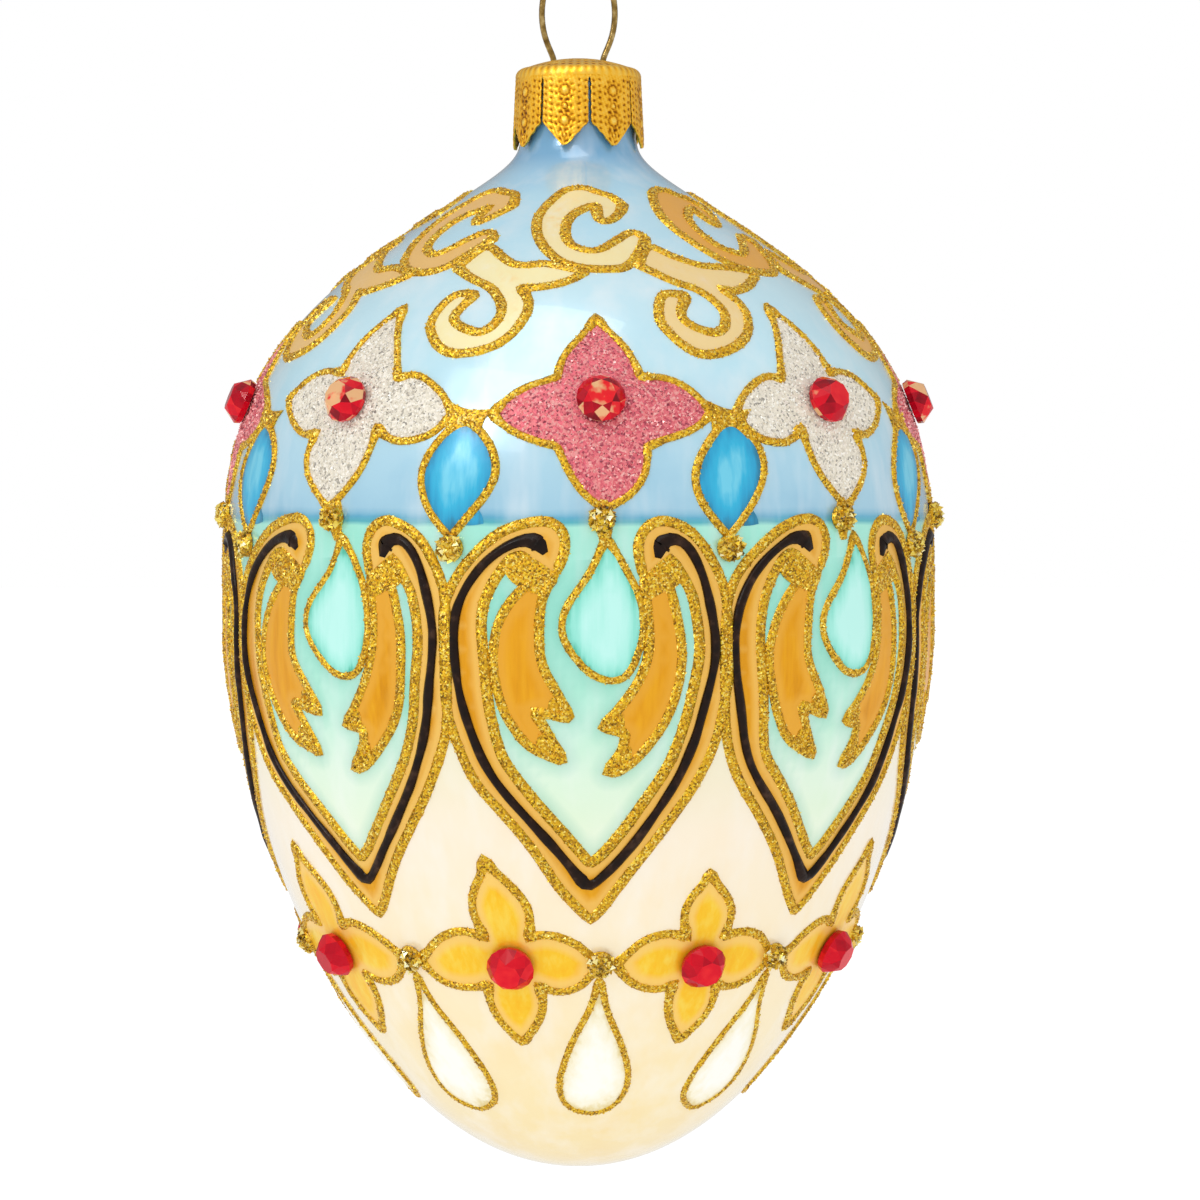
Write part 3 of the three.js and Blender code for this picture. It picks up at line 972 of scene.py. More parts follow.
# Glitter that fills the gap between each hook and its leaf, and the leaves' four points
HOOK_FILLS = [
    [
        [(-5.4, 7.6), (-9.2, 9.3), (-11.4, 9.5), (-13.6, 8.2)],
        [(-12.6, 6.8), (-9.7, 5.9), (-6.9, 5.4)],
        [(-5.8, 6.4)],
    ],
    [
        [(7.8, 7.2), (9.6, 8.2), (12.0, 9.3)],
        [(14.3, 7.2), (13.1, 6.2)],
        [(11.3, 5.7), (8.5, 4.8)],
        [(8.0, 6.0)],
    ],
    [[(-4.5, -10.5), (-8.8, -9.2)], [(-8.2, -7.6), (-6.3, -8.3)]],
    [[(-3.2, -6.4), (-6.6, -5.8)], [(-6.2, -4.0), (-4.6, -4.6)]],
    [[(1.95, -7.3), (5.2, -7.7)], [(5.2, -5.6), (3.6, -6.0)]],
    [[(2.6, -11.7), (6.4, -10.6)], [(6.2, -8.8), (4.6, -9.6)]],
]
KNOT = [
    [(-3.4, 24.1), (0.6, 23.1), (5.2, 23.3)],
    [(3.4, 21.9), (3.6, 20.3)],
    [(1.0, 21.7), (-2.8, 20.3)],
    [(-2.6, 22.2)],
]
PEAR_SHIFT = 1.6
MARQUISE_SHIFT = 1
MIRRORED_FLOWERS = (2, 5, 7)
LOWER_FLOWER_LEVEL = -30.8
LOWER_PETAL_REACH = 11
LOWER_FLOWER_LEANS = (1.5, -1.0, -3.5, -3.0, -1.5, 1.5, 1.0, -2.0)
LOWER_FLOWER_REACHES = (0.95, 1.0, 0.95, 0.95, 0.8, 0.95, 1.0, 0.9)
# How ochre each scroll is, from 0 to 1; the cream left at low values is a painted reflection of the light
# from above, lowest on the scroll at the front
UPPER_SCROLL_TONES = (0.2, 0.6, 0.5, 0.65, 0.1, 0.9, 0.6, 0.3)
LOWER_SCROLL_TONES = (0.3, 0.1, 0.5, 0.6, 0.0, 0.35, 0.8, 0.5)
# Turquoise left on the edge of the blue, on both sides of the crossing under a marquise
DASHES = [
    [[(-0.4, 12.1), (0.8, 13.4), (2.6, 14.0)], [(4.6, 12.8), (4.4, 12.2)], [(2.2, 11.9)]],
    [[(-2.2, 11.9), (-3.8, 12.2)], [(-3.6, 12.8), (-2.6, 13.0)], [(-1.4, 12.2)]],
]
BEAD_STEM = [(0.4, 14.6), (0.2, 12.6), (0.5, 10.4)]


def glitter(path, is_closed=True, radius=LINE_RADIUS, rise=LINE_RISE, pooled=0.2):
    """A line of glitter glue, which pools at sharp corners and rounds off at loose ends."""
    flat = path * (DEGREE, 1)
    if not is_closed:
        return (path, radius * rounded_ends(flat, radius), rise, False)
    ahead, behind = np.roll(flat, -2, axis=0) - flat, flat - np.roll(flat, 2, axis=0)
    cross = ahead[:, 0] * behind[:, 1] - ahead[:, 1] * behind[:, 0]
    turn = np.arctan2(cross, (ahead * behind).sum(1))
    sharp = np.clip((np.abs(turn) - POOL_TURN) / POOL_TURN_SPAN, 0, 1)
    for _ in range(2):
        beside = np.maximum(np.roll(sharp, 1), np.roll(sharp, -1))
        sharp = np.maximum(sharp, POOL_SPREAD * beside)
    return (path, radius + pooled * sharp, rise + POOL_RISE * pooled * sharp, True)


def from_ends(flat):
    """How far each point of a loose line is from the nearer end, in mm along the line."""
    along = np.concatenate(([0], np.cumsum(np.hypot(*np.diff(flat, axis=0).T))))
    return np.minimum(along, along[-1] - along)


def rounded_ends(flat, radius):
    """Share of its full thickness that a loose line has at each point."""
    return np.sqrt(1 - (1 - np.clip(from_ends(flat) / radius, 0.08, 1)) ** 2)


def dark_line(line, i):
    """A heart's thick dark line, with a knob at each hook, a swelling at the tip and a hand's unevenness."""
    along = np.linspace(0, 1, len(line))
    flat = line * (DEGREE, 1)
    knobs = hump(from_ends(flat) - KNOB_RADIUS, KNOB_REACH)
    tip = hump(along - 0.5, TIP_SHARE)
    pressed = 0.035 * np.sin(along * 47 + 2 * i) + 0.025 * np.sin(along * 113 + i)
    thick = DARK_RADIUS + KNOB_SWELL * knobs + TIP_SWELL * tip + pressed
    return (line, thick * rounded_ends(flat, KNOB_RADIUS), DARK_RISE, False)


heart_fields, heart_grounds, leaves, pears, hook_fills = [], [], [], [], []
dark_lines, outer_lines, inner_lines, leaf_lines = [], [], [], []


def place_heart(i):
    def whole(left, right):
        """A line from its left hook to the tip and up to its right hook."""
        left, right = (HEARTS.place(curve_through(half), i, 1) for half in (left, right))
        return np.concatenate((left, right[-2::-1]))

    outer = whole(HEART_OUTER_LEFT, HEART_OUTER_RIGHT)
    inner = whole(HEART_INNER_LEFT, HEART_INNER_RIGHT)
    line = eased(whole(HEART_DARK_LEFT, HEART_DARK_RIGHT))
    leaf_pair = [HEARTS.place(closed(leaf), i, 1) for leaf in (LEAF_LEFT, LEAF_RIGHT)]
    pear = HEARTS.place(closed(PEAR) + (PEAR_SHIFT, 0), i, 2)
    heart_fields.append(np.concatenate((outer, inner[::-1])))
    heart_grounds.append((line, np.concatenate((*leaf_pair, pear, inner))))
    hook_fills.extend(HEARTS.place(closed(fill), i, 1) for fill in HOOK_FILLS)
    leaves.extend(leaf_pair)
    pears.append(pear)
    dark_lines.append(dark_line(line, i))
    outer_lines.append(glitter(outer, False, radius=0.68))
    inner_lines.append(glitter(inner, False, radius=0.74))
    leaf_lines.extend(glitter(leaf, radius=0.64) for leaf in leaf_pair)
    leaf_lines.append(glitter(pear, radius=0.48, rise=0.3))


def leant(shape, lean, reach):
    """A lower flower whose upper petal leans by some degrees and reaches a share of the usual height."""
    rise = shape[:, 1] - LOWER_FLOWER_LEVEL
    share = np.clip(rise / LOWER_PETAL_REACH, 0, 1) ** 2
    level = LOWER_FLOWER_LEVEL + rise * (1 + (reach - 1) * share**0.5)
    return np.column_stack((shape[:, 0] + lean * share, level))


for i in range(RING_COUNT):
    place_heart(i)

upper_flowers = []
for i in range(RING_COUNT):
    flower = closed(WHITE_FLOWER if i % 2 else PINK_FLOWER)
    turned = flower[::-1] * (-1, 1) if i in MIRRORED_FLOWERS else flower
    upper_flowers.append(UPPER_STONES.place(turned, i, 3))
lower_flowers = [
    LOWER_STONES.place(leant(both_sides(LOWER_FLOWER), lean, reach), i, 4)
    for i, (lean, reach) in enumerate(zip(LOWER_FLOWER_LEANS, LOWER_FLOWER_REACHES))
]
knots = MARQUISES.everywhere(closed(KNOT) + (MARQUISE_SHIFT, 0), 9)
stems = UPPER_STONES.everywhere(curve_through(BEAD_STEM), 10)
lower_drops = LOWER_BEADS.everywhere(both_sides(LOWER_DROP), 5)
upper_scrolls = SCROLLS.everywhere(closed(UPPER_SCROLL), 6)
lower_scrolls = SCROLLS.everywhere(closed(LOWER_SCROLL), 7)
marquise_halves = [
    MARQUISES.everywhere(curve_through(half) + (MARQUISE_SHIFT, 0), 8)
    for half in (MARQUISE_LEFT, MARQUISE_RIGHT)
]
marquises = [np.concatenate((left, right[-2:0:-1])) for left, right in zip(*marquise_halves)]
dash_pairs = [MARQUISES.everywhere(closed(dash) + (MARQUISE_SHIFT, 0), 8) for dash in DASHES]
boundary_dashes = [dash for pair in zip(*dash_pairs) for dash in pair]

# Finishes

LACQUER = lacquer_material()
OCHRE = gold_paint_material("ochre gold paint", "#D88E00", "#EAA006", "#F6B41A", "#FFD474")
DEEP_OCHRE = gold_paint_material("deep ochre gold paint", "#D88E00", "#EAA006", "#F6B41A", "#F2B23C")
YELLOW = gold_paint_material("yellow gold paint", "#FFBE10", "#FFCC28", "#FFDC54", "#FFD478", 0.3)
# Cream over ochre: the cream is a painted reflection of the light from above on the upward-facing scrolls.
GOLD_WITH_PAINTED_SHEEN = gold_paint_material("gold paint with painted sheen", "#FFDE98", "#FFF2C0", "#FFF8DA", "#FFF2B8", 0.1)
# The glitter ramps run from dark tints, painted shadow between the grains, to pale ones, painted glints.
GOLD_GRAINS = [(0.0, "#7A5804"), (0.25, "#C08C08"), (0.6, "#E6B010"), (0.85, "#FCD42E"), (1.0, "#FFEC84")]
GLUE_GOLD = glitter_line_material("gold glitter glue", GOLD_GRAINS, 0.17 * MM)
GOLD_GRAIN = grain_material("gold glitter grains", GOLD_GRAINS)
GRIT = grain_material(
    "gold grit", [(0.0, "#3E2E04"), (0.3, "#9A7606"), (0.65, "#E4BC20"), (0.9, "#FFE66A"), (1.0, "#FFFBD0")]
)
PINK = glitter_line_material(
    "pink glitter field",
    [(0.0, "#8E2A3E"), (0.3, "#DA5A6A"), (0.7, "#F07E84"), (1.0, "#FFB6B0")],
    0.22 * MM,
    0.25,
)
PINK_GRAIN = grain_material(
    "pink glitter grains", [(0.0, "#4A0C20"), (0.22, "#A23450"), (0.36, "#F0828C"), (1.0, "#FFC6C0")], 0.3
)
WHITE = glitter_line_material(
    "white glitter field",
    [(0.0, "#9E988E"), (0.2, "#E6DECC"), (0.7, "#F4ECDA"), (1.0, "#FFF8EC")],
    0.22 * MM,
    0.05,
)
WHITE_GRAIN = grain_material(
    "white glitter grains", [(0.0, "#5C5660"), (0.13, "#B4ACA4"), (0.24, "#FAF2E2"), (1.0, "#FFFEF6")], 0.1
)
DARK = enamel_line_material()
TURQUOISE = enamel_drop_material(
    "turquoise enamel", [(0.0, "#057CA2"), (0.3, "#00A2D2"), (0.65, "#1CB6E0"), (1.0, "#6CD0EC")], 2.6
)
PEARL = enamel_drop_material(
    "pearl white enamel", [(0.0, "#E8D494"), (0.3, "#FAF2D4"), (0.7, "#FEFAEA"), (1.0, "#FFFDF4")], 3.0
)
PALE_MINT = enamel_drop_material(
    "pale mint enamel", [(0.0, "#4CC0A4"), (0.25, "#8CE6D4"), (0.6, "#ACF4E6"), (1.0, "#C0FAF0")], 2.2
)
SPRINKLE = make_sprinkle_tree()
RAISED_LINE = make_line_tree(SPRINKLE)
DUSTED = make_dusting_tree(SPRINKLE)


def raised_gold(name, lines, seed):
    """Lines of glue with gold glitter on them."""
    mesh = grown(
        name,
        line_mesh(name, lines),
        RAISED_LINE,
        Step=0.5 * MM,
        Lump=0.14 * MM,
        Lump_Size=0.7 * MM,
        Density=LINE_GRAINS / MM**2,
        Grain=0.2 * MM,
        Seed=seed,
        Bead_Material=GLUE_GOLD,
        Grain_Material=GOLD_GRAIN,
    )
    finished(name, mesh, None)


def dusted_fields(name, outlines, field, grains, seed, lift=PAINT_LIFT, crown=0.0):
    """A glittering field of paint with grains on it."""
    piece = painted(name, outlines, field, lift=lift, crown=crown, cell=1.0)
    spots = np.zeros(len(piece.data.vertices) * 3, np.float32)
    piece.data.vertices.foreach_get("co", spots)
    x, y, z = (spots.reshape(-1, 3) / MM).T
    store(piece.data, "outward", outward_at(np.degrees(np.arctan2(x, -y)), z - GIRTH))
    density = FIELD_GRAINS / MM**2
    piece.data = grown(
        name, piece.data, DUSTED, Density=density, Grain=0.26 * MM, Seed=seed, Grain_Material=grains
    )


def shades_of_ground(turns, heights):
    """For points of the glass: whether each is inside a heart, and how near it is to a line drawn there."""
    spots = np.array([(t, h) for h in heights for t in turns])
    heart, near = np.zeros(len(spots)), np.full(len(spots), FAR)
    for centre, (outline, lines) in zip(HEARTS.angles, heart_grounds):
        here = spots.copy()
        here[:, 0] = (spots[:, 0] - centre + 180) % 360 - 180 + centre
        low, high = outline.min(0), outline.max(0)
        around = np.flatnonzero(((here > low) & (here < high)).all(1))
        around = around[inside(here[around], outline)]
        heart[around] = 1
        near[around] = distance_to(here[around] * (DEGREE, 1), lines * (DEGREE, 1))
    return heart, near


def strip(low, high, sides):
    """Faces between two rings of points, each given by its first point, seen from the side of the low one."""
    return [(low + i, low + (i + 1) % sides, high + (i + 1) % sides, high + i) for i in range(sides)]


def make_glass():
    """The blown egg: outside, neck and hollow inside, as one closed skin."""
    steps, sides = 90, 256
    share = np.pi / 2 * np.arange(steps + 1) / steps
    heights = np.concatenate((-EGG_DROP * np.sin(share[-2:0:-1]), EGG_RISE * np.sin(share)))
    radii = glass_radius(heights)
    levels = GIRTH + heights
    neck = np.linspace(levels[-1], NECK_TOP, 8)[1:]
    out, up = glass_outward(heights)
    hollow = [*zip(radii - GLASS_WALL * out, levels - GLASS_WALL * up)]
    outer = [*zip(radii, levels), *[(NECK_RADIUS, z) for z in neck]]
    inner = [*[(NECK_RADIUS - GLASS_WALL, z) for z in neck[::-1]], *hollow[::-4]]
    profile = np.array([*outer, *inner])
    turns = 2 * np.pi * np.arange(sides) / sides
    around = np.column_stack((np.sin(turns), -np.cos(turns)))
    walls = np.concatenate([np.column_stack((around * r, np.full(sides, z))) for r, z in profile]) * MM
    foot = GIRTH - EGG_DROP
    points = [(0, 0, foot * MM), *walls, (0, 0, (foot + GLASS_WALL) * MM)]
    heart, near = shades_of_ground(np.degrees(turns), heights)
    spare = len(points) - len(heart) - 1
    last, tip = 1 + (len(profile) - 1) * sides, len(points) - 1
    faces = [(0, 1 + (i + 1) % sides, 1 + i) for i in range(sides)]
    for j in range(len(profile) - 1):
        faces += strip(1 + j * sides, 1 + (j + 1) * sides, sides)
    faces += [(last + i, last + (i + 1) % sides, tip) for i in range(sides)]
    heart = np.concatenate(([0], heart, np.zeros(spare)))
    near = np.concatenate(([FAR], near, np.full(spare, FAR)))
    mesh = mesh_from("lacquered_egg", points, faces, heart=heart, near=near)
    finished("lacquered_egg", mesh, LACQUER, ["glass_shell"])


def stamped_relief(across, down):
    """Height of the stamping on a tab, 0 to 1: across from its middle, down from the corner, in mm."""
    relief = np.full_like(across, 0.55)
    for middle, ring, rays in ((1.7, 0.55, 9), (3.3, 0.3, 6), (4.8, 0.55, 9), (6.3, 0.2, 5)):
        far = np.hypot(across, down - middle)
        turn = np.arctan2(down - middle, across)
        relief += 0.4 * hump(far, 0.2) - 0.45 * hump(far - ring, 0.13)
        relief -= 0.5 * ripple(rays * turn) * hump(far - ring - 0.42, 0.15)
    for border, pitch in ((1.5, 0.62), (2.15, 0.7)):
        pits = ripple(2 * np.pi * down / pitch) ** 2
        relief -= 0.6 * hump(np.abs(across) - border, 0.17) * pits
    grain = np.sin(across * 13 + down * 5) * np.sin(down * 11 - across * 4)
    return np.clip(relief + 0.16 * grain, 0, 1)


def make_cap():
    """The crown cap: a dome with dotted rings and eight stamped tabs, cut from one sheet."""
    corner = CAP_SHOULDER_RADIUS - CAP_CORNER_RADIUS
    corner_z = CAP_TOP - CAP_DOME_RISE - CAP_CORNER_RADIUS
    dome = [(r, CAP_TOP - CAP_DOME_RISE * (r / corner) ** 2) for r in np.linspace(0.05, corner, 30)]
    arc = [
        (corner + CAP_CORNER_RADIUS * math.sin(a), corner_z + CAP_CORNER_RADIUS * math.cos(a))
        for a in np.linspace(0, math.pi / 2, 9)[1:]
    ]
    skirt_levels = np.linspace(corner_z, TAB_TIP, 52)[1:]
    share = (corner_z - skirt_levels) / (corner_z - TAB_TIP)
    skirt = [*zip(CAP_SHOULDER_RADIUS + (CAP_RIM_RADIUS - CAP_SHOULDER_RADIUS) * share, skirt_levels)]
    profile = np.array(dome + arc + skirt)
    rows, columns = len(profile), 35
    half_turn = math.pi / TAB_COUNT
    slit_top = CAP_TOP - SLIT_TOP_DROP
    points, relief, faces = [], [], []
    for tab in range(TAB_COUNT):
        middle = math.radians(SLIT_ANGLE) + (2 * tab + 1) * half_turn
        for radius, level in profile:
            reach = half_turn
            if level < slit_top:
                reach -= min(1, (slit_top - level) / SLIT_TAPER) * SLIT_WIDTH / 2 / radius
            narrow = (TAB_TIP + TAB_POINT_HEIGHT - level) / TAB_POINT_HEIGHT
            if narrow > 0:
                reach += (TAB_POINT_WIDTH / 2 / CAP_RIM_RADIUS - reach) * narrow
            spots = middle + reach * np.linspace(-1, 1, columns)
            if level < corner_z:
                height = stamped_relief((spots - middle) * radius, np.full(columns, corner_z - level))
                out = 1.0
            else:
                rings = ripple(2 * np.pi * (radius - DOT_RING_RADIUS) / DOT_RING_PITCH)
                dots = ripple(spots * max(8, 8 * round(radius)))
                height = 0.7 - (0.65 if radius < corner else 0.4) * rings * dots
                out = min(1.0, radius / CAP_SHOULDER_RADIUS) ** 3
            lift = (height - STAMP_MIDDLE) * STAMP_DEPTH
            wide = radius + lift * out
            place = (wide * np.sin(spots), -wide * np.cos(spots), level + lift * (1 - out))
            points += [*np.column_stack(place)]
            relief += [*height]
        for j in range(rows - 1):
            start = (tab * rows + j) * columns
            faces += [(a, a + columns, a + columns + 1, a + 1) for a in range(start, start + columns - 1)]
    mesh = mesh_from("crown_cap", np.array(points) * MM, faces, relief=relief)
    piece = finished("crown_cap", mesh, cap_material(), ["cap"])
    piece.modifiers.new("Weld", "WELD").merge_threshold = 0.02 * MM
    sheet = piece.modifiers.new("Sheet", "SOLIDIFY")
    sheet.thickness = CAP_SHEET * MM
    sheet.offset = -1


def make_wire():
    """The spring wire: an oval loop above the cap and two legs that spread inside the neck."""
    reach = NECK_RADIUS - GLASS_WALL - FIT_GAP - WIRE_RADIUS
    centre = WIRE_RADIUS - LOOP_HALF_HEIGHT
    hole_turn = math.acos(WIRE_HOLE_SPREAD / LOOP_HALF_WIDTH)
    leg = [
        (WIRE_HOLE_SPREAD, CAP_TOP - 1),
        ((WIRE_HOLE_SPREAD + reach) / 2, CAP_TOP - 3.4),
        (reach, CAP_TOP - 6.6),
        (reach, TAB_TIP),
        (reach + LEG_FLARE, CAP_TOP - LEG_LENGTH),
    ]
    turns = np.linspace(-hole_turn, math.pi + hole_turn, 41)
    loop = [(LOOP_HALF_WIDTH * math.cos(t), centre + LOOP_HALF_HEIGHT * math.sin(t)) for t in turns]
    route = np.array([*leg[::-1], *loop, *[(-x, z) for x, z in leg]])
    path = curve_through(route * (1 / DEGREE, 1)) * (DEGREE, 1)
    points = [(x * MM, 0, z * MM) for x, z in path]
    edges = [(i, i + 1) for i in range(len(points) - 1)]
    radii = np.full(len(points), WIRE_RADIUS * MM)
    route_mesh = mesh_from("wire_route", points, [], edges, thickness=radii)
    wire = wire_material()
    plain = {"Step": 0.3 * MM, "Lump": 0.0, "Density": 0.0, "Bead_Material": wire, "Grain_Material": wire}
    made = grown("hanging_wire", route_mesh, RAISED_LINE, **plain)
    finished("hanging_wire", made, wire, ["hanger_wire"])


def square_to_glass(points, degrees, height):
    """Points of a small piece, in millimetres with +Z outwards, set square on the glass."""
    turn = math.radians(degrees)
    out, up = (float(v) for v in glass_outward(height))
    seat = on_egg(degrees, height, GLUE_GAP)
    side = np.array((math.cos(turn), math.sin(turn), 0))
    face = np.array((out * math.sin(turn), -out * math.cos(turn), up))
    rise = np.cross(face, side)
    points = np.asarray(points, float) * MM
    return seat + points[:, :1] * side + points[:, 1:2] * rise + points[:, 2:] * face


def circle(radius, level, count, shift=0.0):
    turns = 2 * np.pi * (np.arange(count) + shift) / count
    return [(radius * math.cos(t), radius * math.sin(t), level) for t in turns]


def stone_form():
    """Crown facets of a round flat-backed stone: table, stars, kites and sixteen at the girdle."""
    points = [
        *circle(STONE_TABLE_RADIUS, STONE_HEIGHT, 8),
        *circle(STONE_STAR_RADIUS, STONE_STAR_HEIGHT, 8, 0.5),
        *circle(STONE_RADIUS, STONE_GIRDLE, 16),
        *circle(STONE_BACK_RADIUS, 0, 16),
    ]
    faces = [tuple(range(8)), tuple(range(47, 31, -1))]
    for i in range(8):
        star, girdle, mid = 8 + i, 16 + 2 * i, 17 + 2 * i
        faces.append((i, star, (i + 1) % 8))
        faces.append((i, 8 + (i - 1) % 8, girdle, star))
        faces.append((star, girdle, mid))
        faces.append((star, mid, 16 + (2 * i + 2) % 16))
    for i in range(16):
        after = (i + 1) % 16
        faces.append((16 + i, 32 + i, 32 + after, 16 + after))
    return points, faces


def foil_form():
    """The faceted foil cone behind the glass of a stone."""
    rim, waist = circle(FOIL_RADIUS, FOIL_RIM, 16), circle(FOIL_WAIST_RADIUS, FOIL_WAIST, 8, 0.5)
    points = [*rim, *waist, (0, 0, FOIL_TIP), *circle(FOIL_RADIUS, FOIL_BACK, 16)]
    faces = []
    for i in range(8):
        after = (i + 1) % 8
        a, b, c = 2 * i, 2 * i + 1, (2 * i + 2) % 16
        faces.append((a, b, 16 + i))
        faces.append((b, c, 16 + i))
        faces.append((c, 16 + after, 16 + i))
        faces.append((16 + i, 16 + after, 24))
    for i in range(16):
        after = (i + 1) % 16
        faces.append((i, 25 + i, 25 + after, after))
    faces.append(tuple(range(40, 24, -1)))
    return points, faces


def set_round(name, nodes, height, form, material, tones, replaced=()):
    """Copies of a small form at a ring's places, as one piece, its facets' tones, painted reflections, spread
    over a range.
    """
    form_points, form_faces = form()
    points, faces = joined(
        (square_to_glass(form_points, node_angle(node), height), form_faces) for node in nodes
    )
    mesh = mesh_from(name, points, faces)
    store(mesh, "facet", np.random.default_rng(len(name)).uniform(*tones, len(faces)), "FACE")
    finished(name, mesh, material, replaced, smooth=False)


def ring_height(node, thickness):
    """Height above the girth of a piece's seat on the glass, from the middle of its box."""
    low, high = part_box(node)
    height = ((low + high) / 2).z / MM - GIRTH
    return height - (GLUE_GAP + thickness / 2) * float(glass_outward(height)[1])


def grit_beads(name, nodes, seed):
    """Domes of coarse grit, each with grains of many tints."""
    rings, sides = 5, 14
    wide, tall = BEAD_RADIUS * 0.92, BEAD_HEIGHT * 0.85
    points = [(0, 0, tall)]
    for j in range(1, rings + 1):
        turn = math.pi / 2 * j / rings
        sunk = GRIT_SINK if j == rings else 0
        points += circle(wide * math.sin(turn), tall * math.cos(turn) - sunk, sides)
    faces = [(0, 1 + i, 1 + (i + 1) % sides) for i in range(sides)]
    for j in range(rings - 1):
        low, high = 1 + j * sides, 1 + (j + 1) * sides
        faces += [(low + i, high + i, high + (i + 1) % sides, low + (i + 1) % sides) for i in range(sides)]
    faces.append(tuple(range(rings * sides, (rings - 1) * sides, -1)))
    seats = [(node_angle(node), ring_height(node, BEAD_HEIGHT)) for node in nodes]
    spots, found = joined((square_to_glass(points, *seat), faces) for seat in seats)
    outs = np.repeat([outward_at(*seat) for seat in seats], len(points), axis=0)
    mesh = mesh_from(name, spots, found, outward=outs)
    mesh.materials.append(GLUE_GOLD)
    density = GRIT_GRAINS / MM**2
    made = grown(name, mesh, DUSTED, Density=density, Grain=0.55 * MM, Seed=seed, Grain_Material=GRIT)
    finished(name, made, None, nodes)


make_glass()
make_cap()
make_wire()
painted("heart_fields", heart_fields, OCHRE)
painted("leaves", leaves, DEEP_OCHRE, lift=PAINT_LIFT + 0.02)
painted("pear_drops", pears, PALE_MINT, lift=PAINT_LIFT + 0.04, crown=0.15)
painted("lower_flowers", lower_flowers, YELLOW, crown=0.05, tones=[0.05] * RING_COUNT)
painted("lower_drops", lower_drops, PEARL, crown=0.15)
painted("upper_scrolls", upper_scrolls, GOLD_WITH_PAINTED_SHEEN, tones=UPPER_SCROLL_TONES)
painted("lower_scrolls", lower_scrolls, GOLD_WITH_PAINTED_SHEEN, tones=LOWER_SCROLL_TONES)
painted("marquise_drops", marquises, TURQUOISE, crown=0.2)
painted("boundary_dashes", boundary_dashes, TURQUOISE, lift=0.03)
dusted_fields("pink_petals", upper_flowers[0::2], PINK, PINK_GRAIN, 11)
dusted_fields("white_petals", upper_flowers[1::2], WHITE, WHITE_GRAIN, 12)
dusted_fields("knots", knots, GLUE_GOLD, GOLD_GRAIN, 13, lift=0.12, crown=0.35)
dusted_fields("hook_fills", hook_fills, GLUE_GOLD, GOLD_GRAIN, 14, lift=0.12, crown=0.2)

raised_gold("heart_outer_glitter", outer_lines, 21)
raised_gold("heart_inner_glitter", inner_lines, 28)
raised_gold("bead_stems", [glitter(s, False, radius=0.95, rise=0.45) for s in stems], 29)
raised_gold("leaf_glitter", leaf_lines, 22)
raised_gold("upper_flower_glitter", [glitter(f, radius=0.44, pooled=0.45) for f in upper_flowers], 23)
marquise_lines = [glitter(half, False, radius=0.5) for pair in zip(*marquise_halves) for half in pair]
raised_gold("marquise_glitter", marquise_lines, 24)
raised_gold("upper_scroll_glitter", [glitter(s, radius=0.74) for s in upper_scrolls], 25)
raised_gold("lower_scroll_glitter", [glitter(s, radius=0.74) for s in lower_scrolls], 30)
raised_gold("lower_flower_glitter", [glitter(f, pooled=0.35) for f in lower_flowers], 26)
raised_gold("lower_drop_glitter", [glitter(d, radius=0.42, rise=0.25) for d in lower_drops], 27)
enamel = grown(
    "heart_enamel",
    line_mesh("heart_enamel", dark_lines),
    RAISED_LINE,
    Step=0.6 * MM,
    Lump=0.12 * MM,
    Lump_Size=2.5 * MM,
    Density=0.0,
    Bead_Material=DARK,
    Grain_Material=DARK,
)
finished("heart_enamel", enamel, DARK)

RED_GLASS, RED_FOIL = red_glass_material(), red_foil_material()
# The lower stones face down: their painted reflections keep to the middle of the range and take few painted
# highlights.
for name, tones in (("upper_stone", (0.0, 1.0)), ("lower_stone", (0.18, 0.82))):
    nodes = nodes_of(name)
    height = ring_height(nodes[0], STONE_HEIGHT)
    set_round(f"{name}s", nodes, height, stone_form, RED_GLASS, tones, nodes)
    set_round(f"{name}_foils", nodes, height, foil_form, RED_FOIL, tones)
for seed, name in enumerate(("flower_bead", "marquise_bead", "lower_bead"), 31):
    grit_beads(f"{name}s", nodes_of(name), seed)


# Studio

def make_stage():
    """A pale floor well below the hanging egg."""
    finish, tree = new_material("pale floor", Roughness=0.7, Emission_Color=(1, 1, 1, 1))
    clouds = use_group(tree, MOTTLE, Size=0.05, Detail=2.0, Relief=0.0)
    colour = add_ramp(tree, clouds["Cloud"], [(0.3, "#505050"), (0.7, "#545454")])
    glossy = add(tree, "ShaderNodeLightPath", result="Is Glossy Ray")
    glow = ranged(tree, glossy, 0.0, 1.0, 1.0, FLOOR_GLOSS)
    ways = ((-1, -1), (1, -1), (1, 1), (-1, 1))
    corners = [(x * FLOOR_REACH, y * FLOOR_REACH, FLOOR_LEVEL) for x, y in ways]
    mesh = mesh_from("floor", corners, [(0, 1, 2, 3)])
    mesh.materials.append(wired(finish, Base_Color=colour, Emission_Strength=glow))
    floor = bpy.data.objects.new("floor", mesh)
    bpy.context.scene.collection.objects.link(floor)


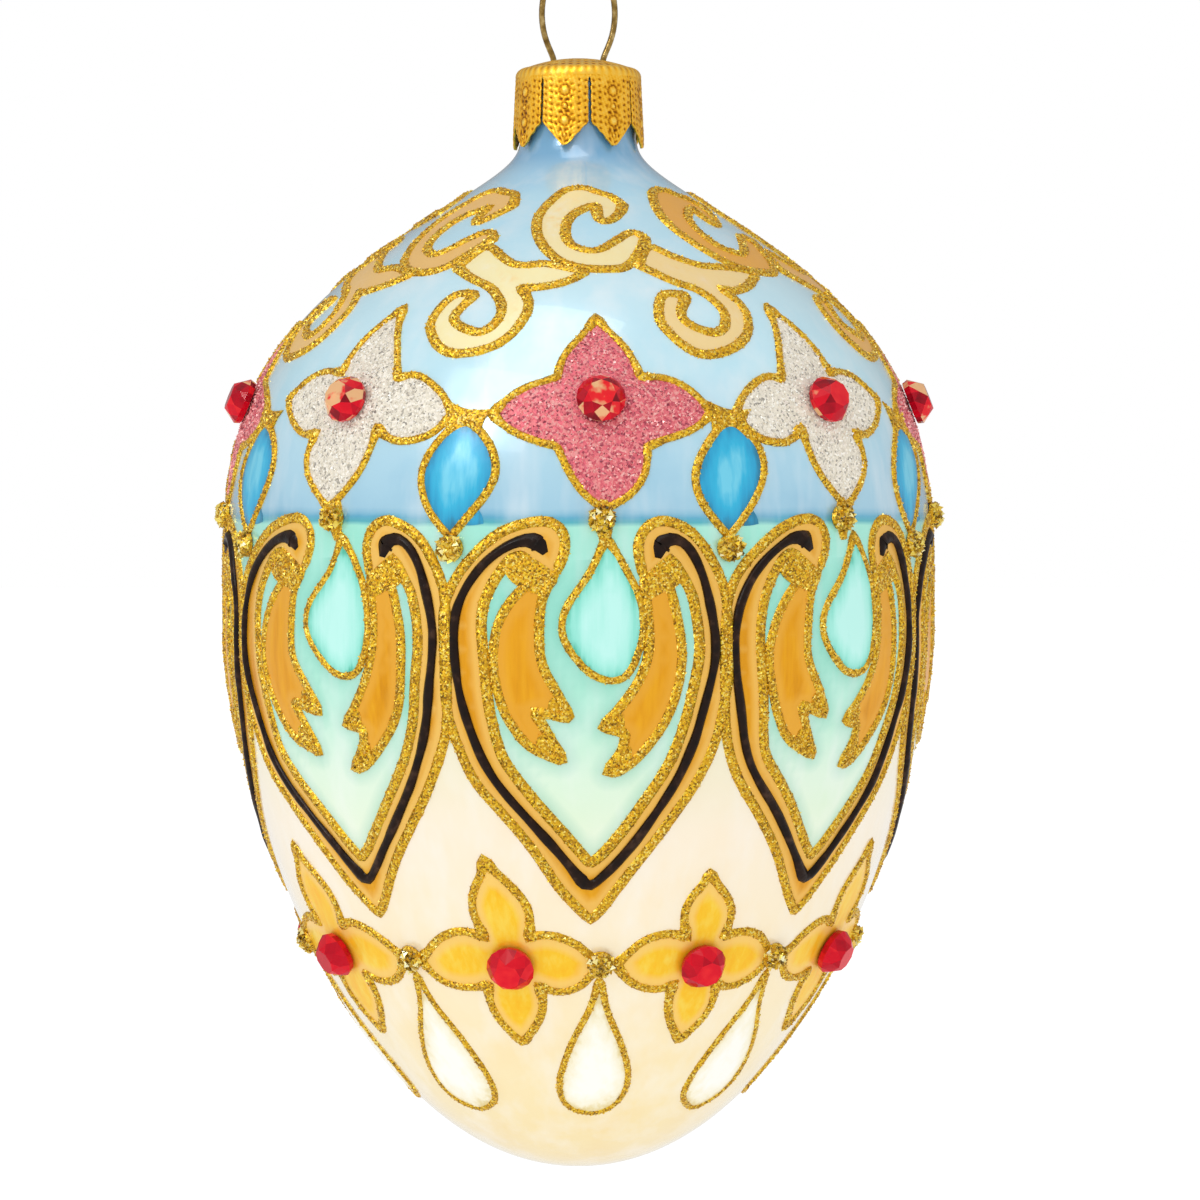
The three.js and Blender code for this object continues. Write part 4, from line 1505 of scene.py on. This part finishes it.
def add_panel(name, direction, reach, size, brightness, lights_all=False):
    """A lit panel that faces the egg from a direction (azimuth, elevation), seen in its gloss.

    Azimuth 0 is the camera's side, positive to the viewer's right."""
    azimuth, elevation = (math.radians(a) for a in direction)
    level = math.cos(elevation)
    away = Vector((math.sin(azimuth) * level, -math.cos(azimuth) * level, math.sin(elevation)))
    light = bpy.data.lights.new(name, "AREA")
    light.shape = "RECTANGLE"
    light.size, light.size_y = size
    light.energy = brightness * math.pi * size[0] * size[1]
    panel = bpy.data.objects.new(name, light)
    panel.location = Vector((0, 0, GIRTH * MM)) + away * reach
    panel.rotation_euler = away.to_track_quat("Z", "Y").to_euler()
    panel.visible_diffuse = lights_all
    bpy.context.scene.collection.objects.link(panel)


def make_studio():
    """A white room, dimmer in the gloss towards its back, with a softbox, a window and a key light."""
    world = bpy.data.worlds.new("white studio")
    bpy.context.scene.world = world
    world.use_nodes = True
    tree = world.node_tree
    tree.nodes.clear()
    rays = add(tree, "ShaderNodeLightPath").node.outputs
    seen = ranged(tree, rays["Is Camera Ray"], 0.0, 1.0, WORLD_LIGHT, 1.0)
    way = add(tree, "ShaderNodeTexCoord", result="Generated")
    depth = add(tree, "ShaderNodeSeparateXYZ", {0: way}, "Y")
    dark = ranged(tree, depth, 0.1, 0.85, 0.0, 1 - BACK_GLOSS / WORLD_LIGHT)
    left_over = maths(tree, "SUBTRACT", 1.0, maths(tree, "MULTIPLY", rays["Is Glossy Ray"], dark))
    strength = maths(tree, "MULTIPLY", seen, left_over)
    light = add(tree, "ShaderNodeBackground", {"Color": (1, 1, 1, 1), "Strength": strength})
    tree.links.new(light, tree.nodes.new("ShaderNodeOutputWorld").inputs[0])
    add_panel("overhead softbox", (-20, 64), 1.0, (0.5, 0.8), 1.6)
    add_panel("left window", (-38, 30), 0.9, (0.18, 0.26), 9.0)
    add_panel("key light", (-35, 40), 0.9, (0.5, 0.5), 1.2, lights_all=True)
    bpy.context.scene.view_settings.view_transform = "Standard"


def make_camera():
    camera = bpy.data.cameras.new("camera")
    camera.lens = CAMERA_LENS
    camera.sensor_width = CAMERA_SENSOR
    camera.clip_start = 0.01
    eye = bpy.data.objects.new("camera", camera)
    eye.location = CAMERA_PLACE
    eye.rotation_euler = (Vector(CAMERA_AIM) - eye.location).to_track_quat("-Z", "Y").to_euler()
    bpy.context.scene.collection.objects.link(eye)
    bpy.context.scene.camera = eye


make_stage()
make_studio()
make_camera()
bpy.context.view_layer.update()
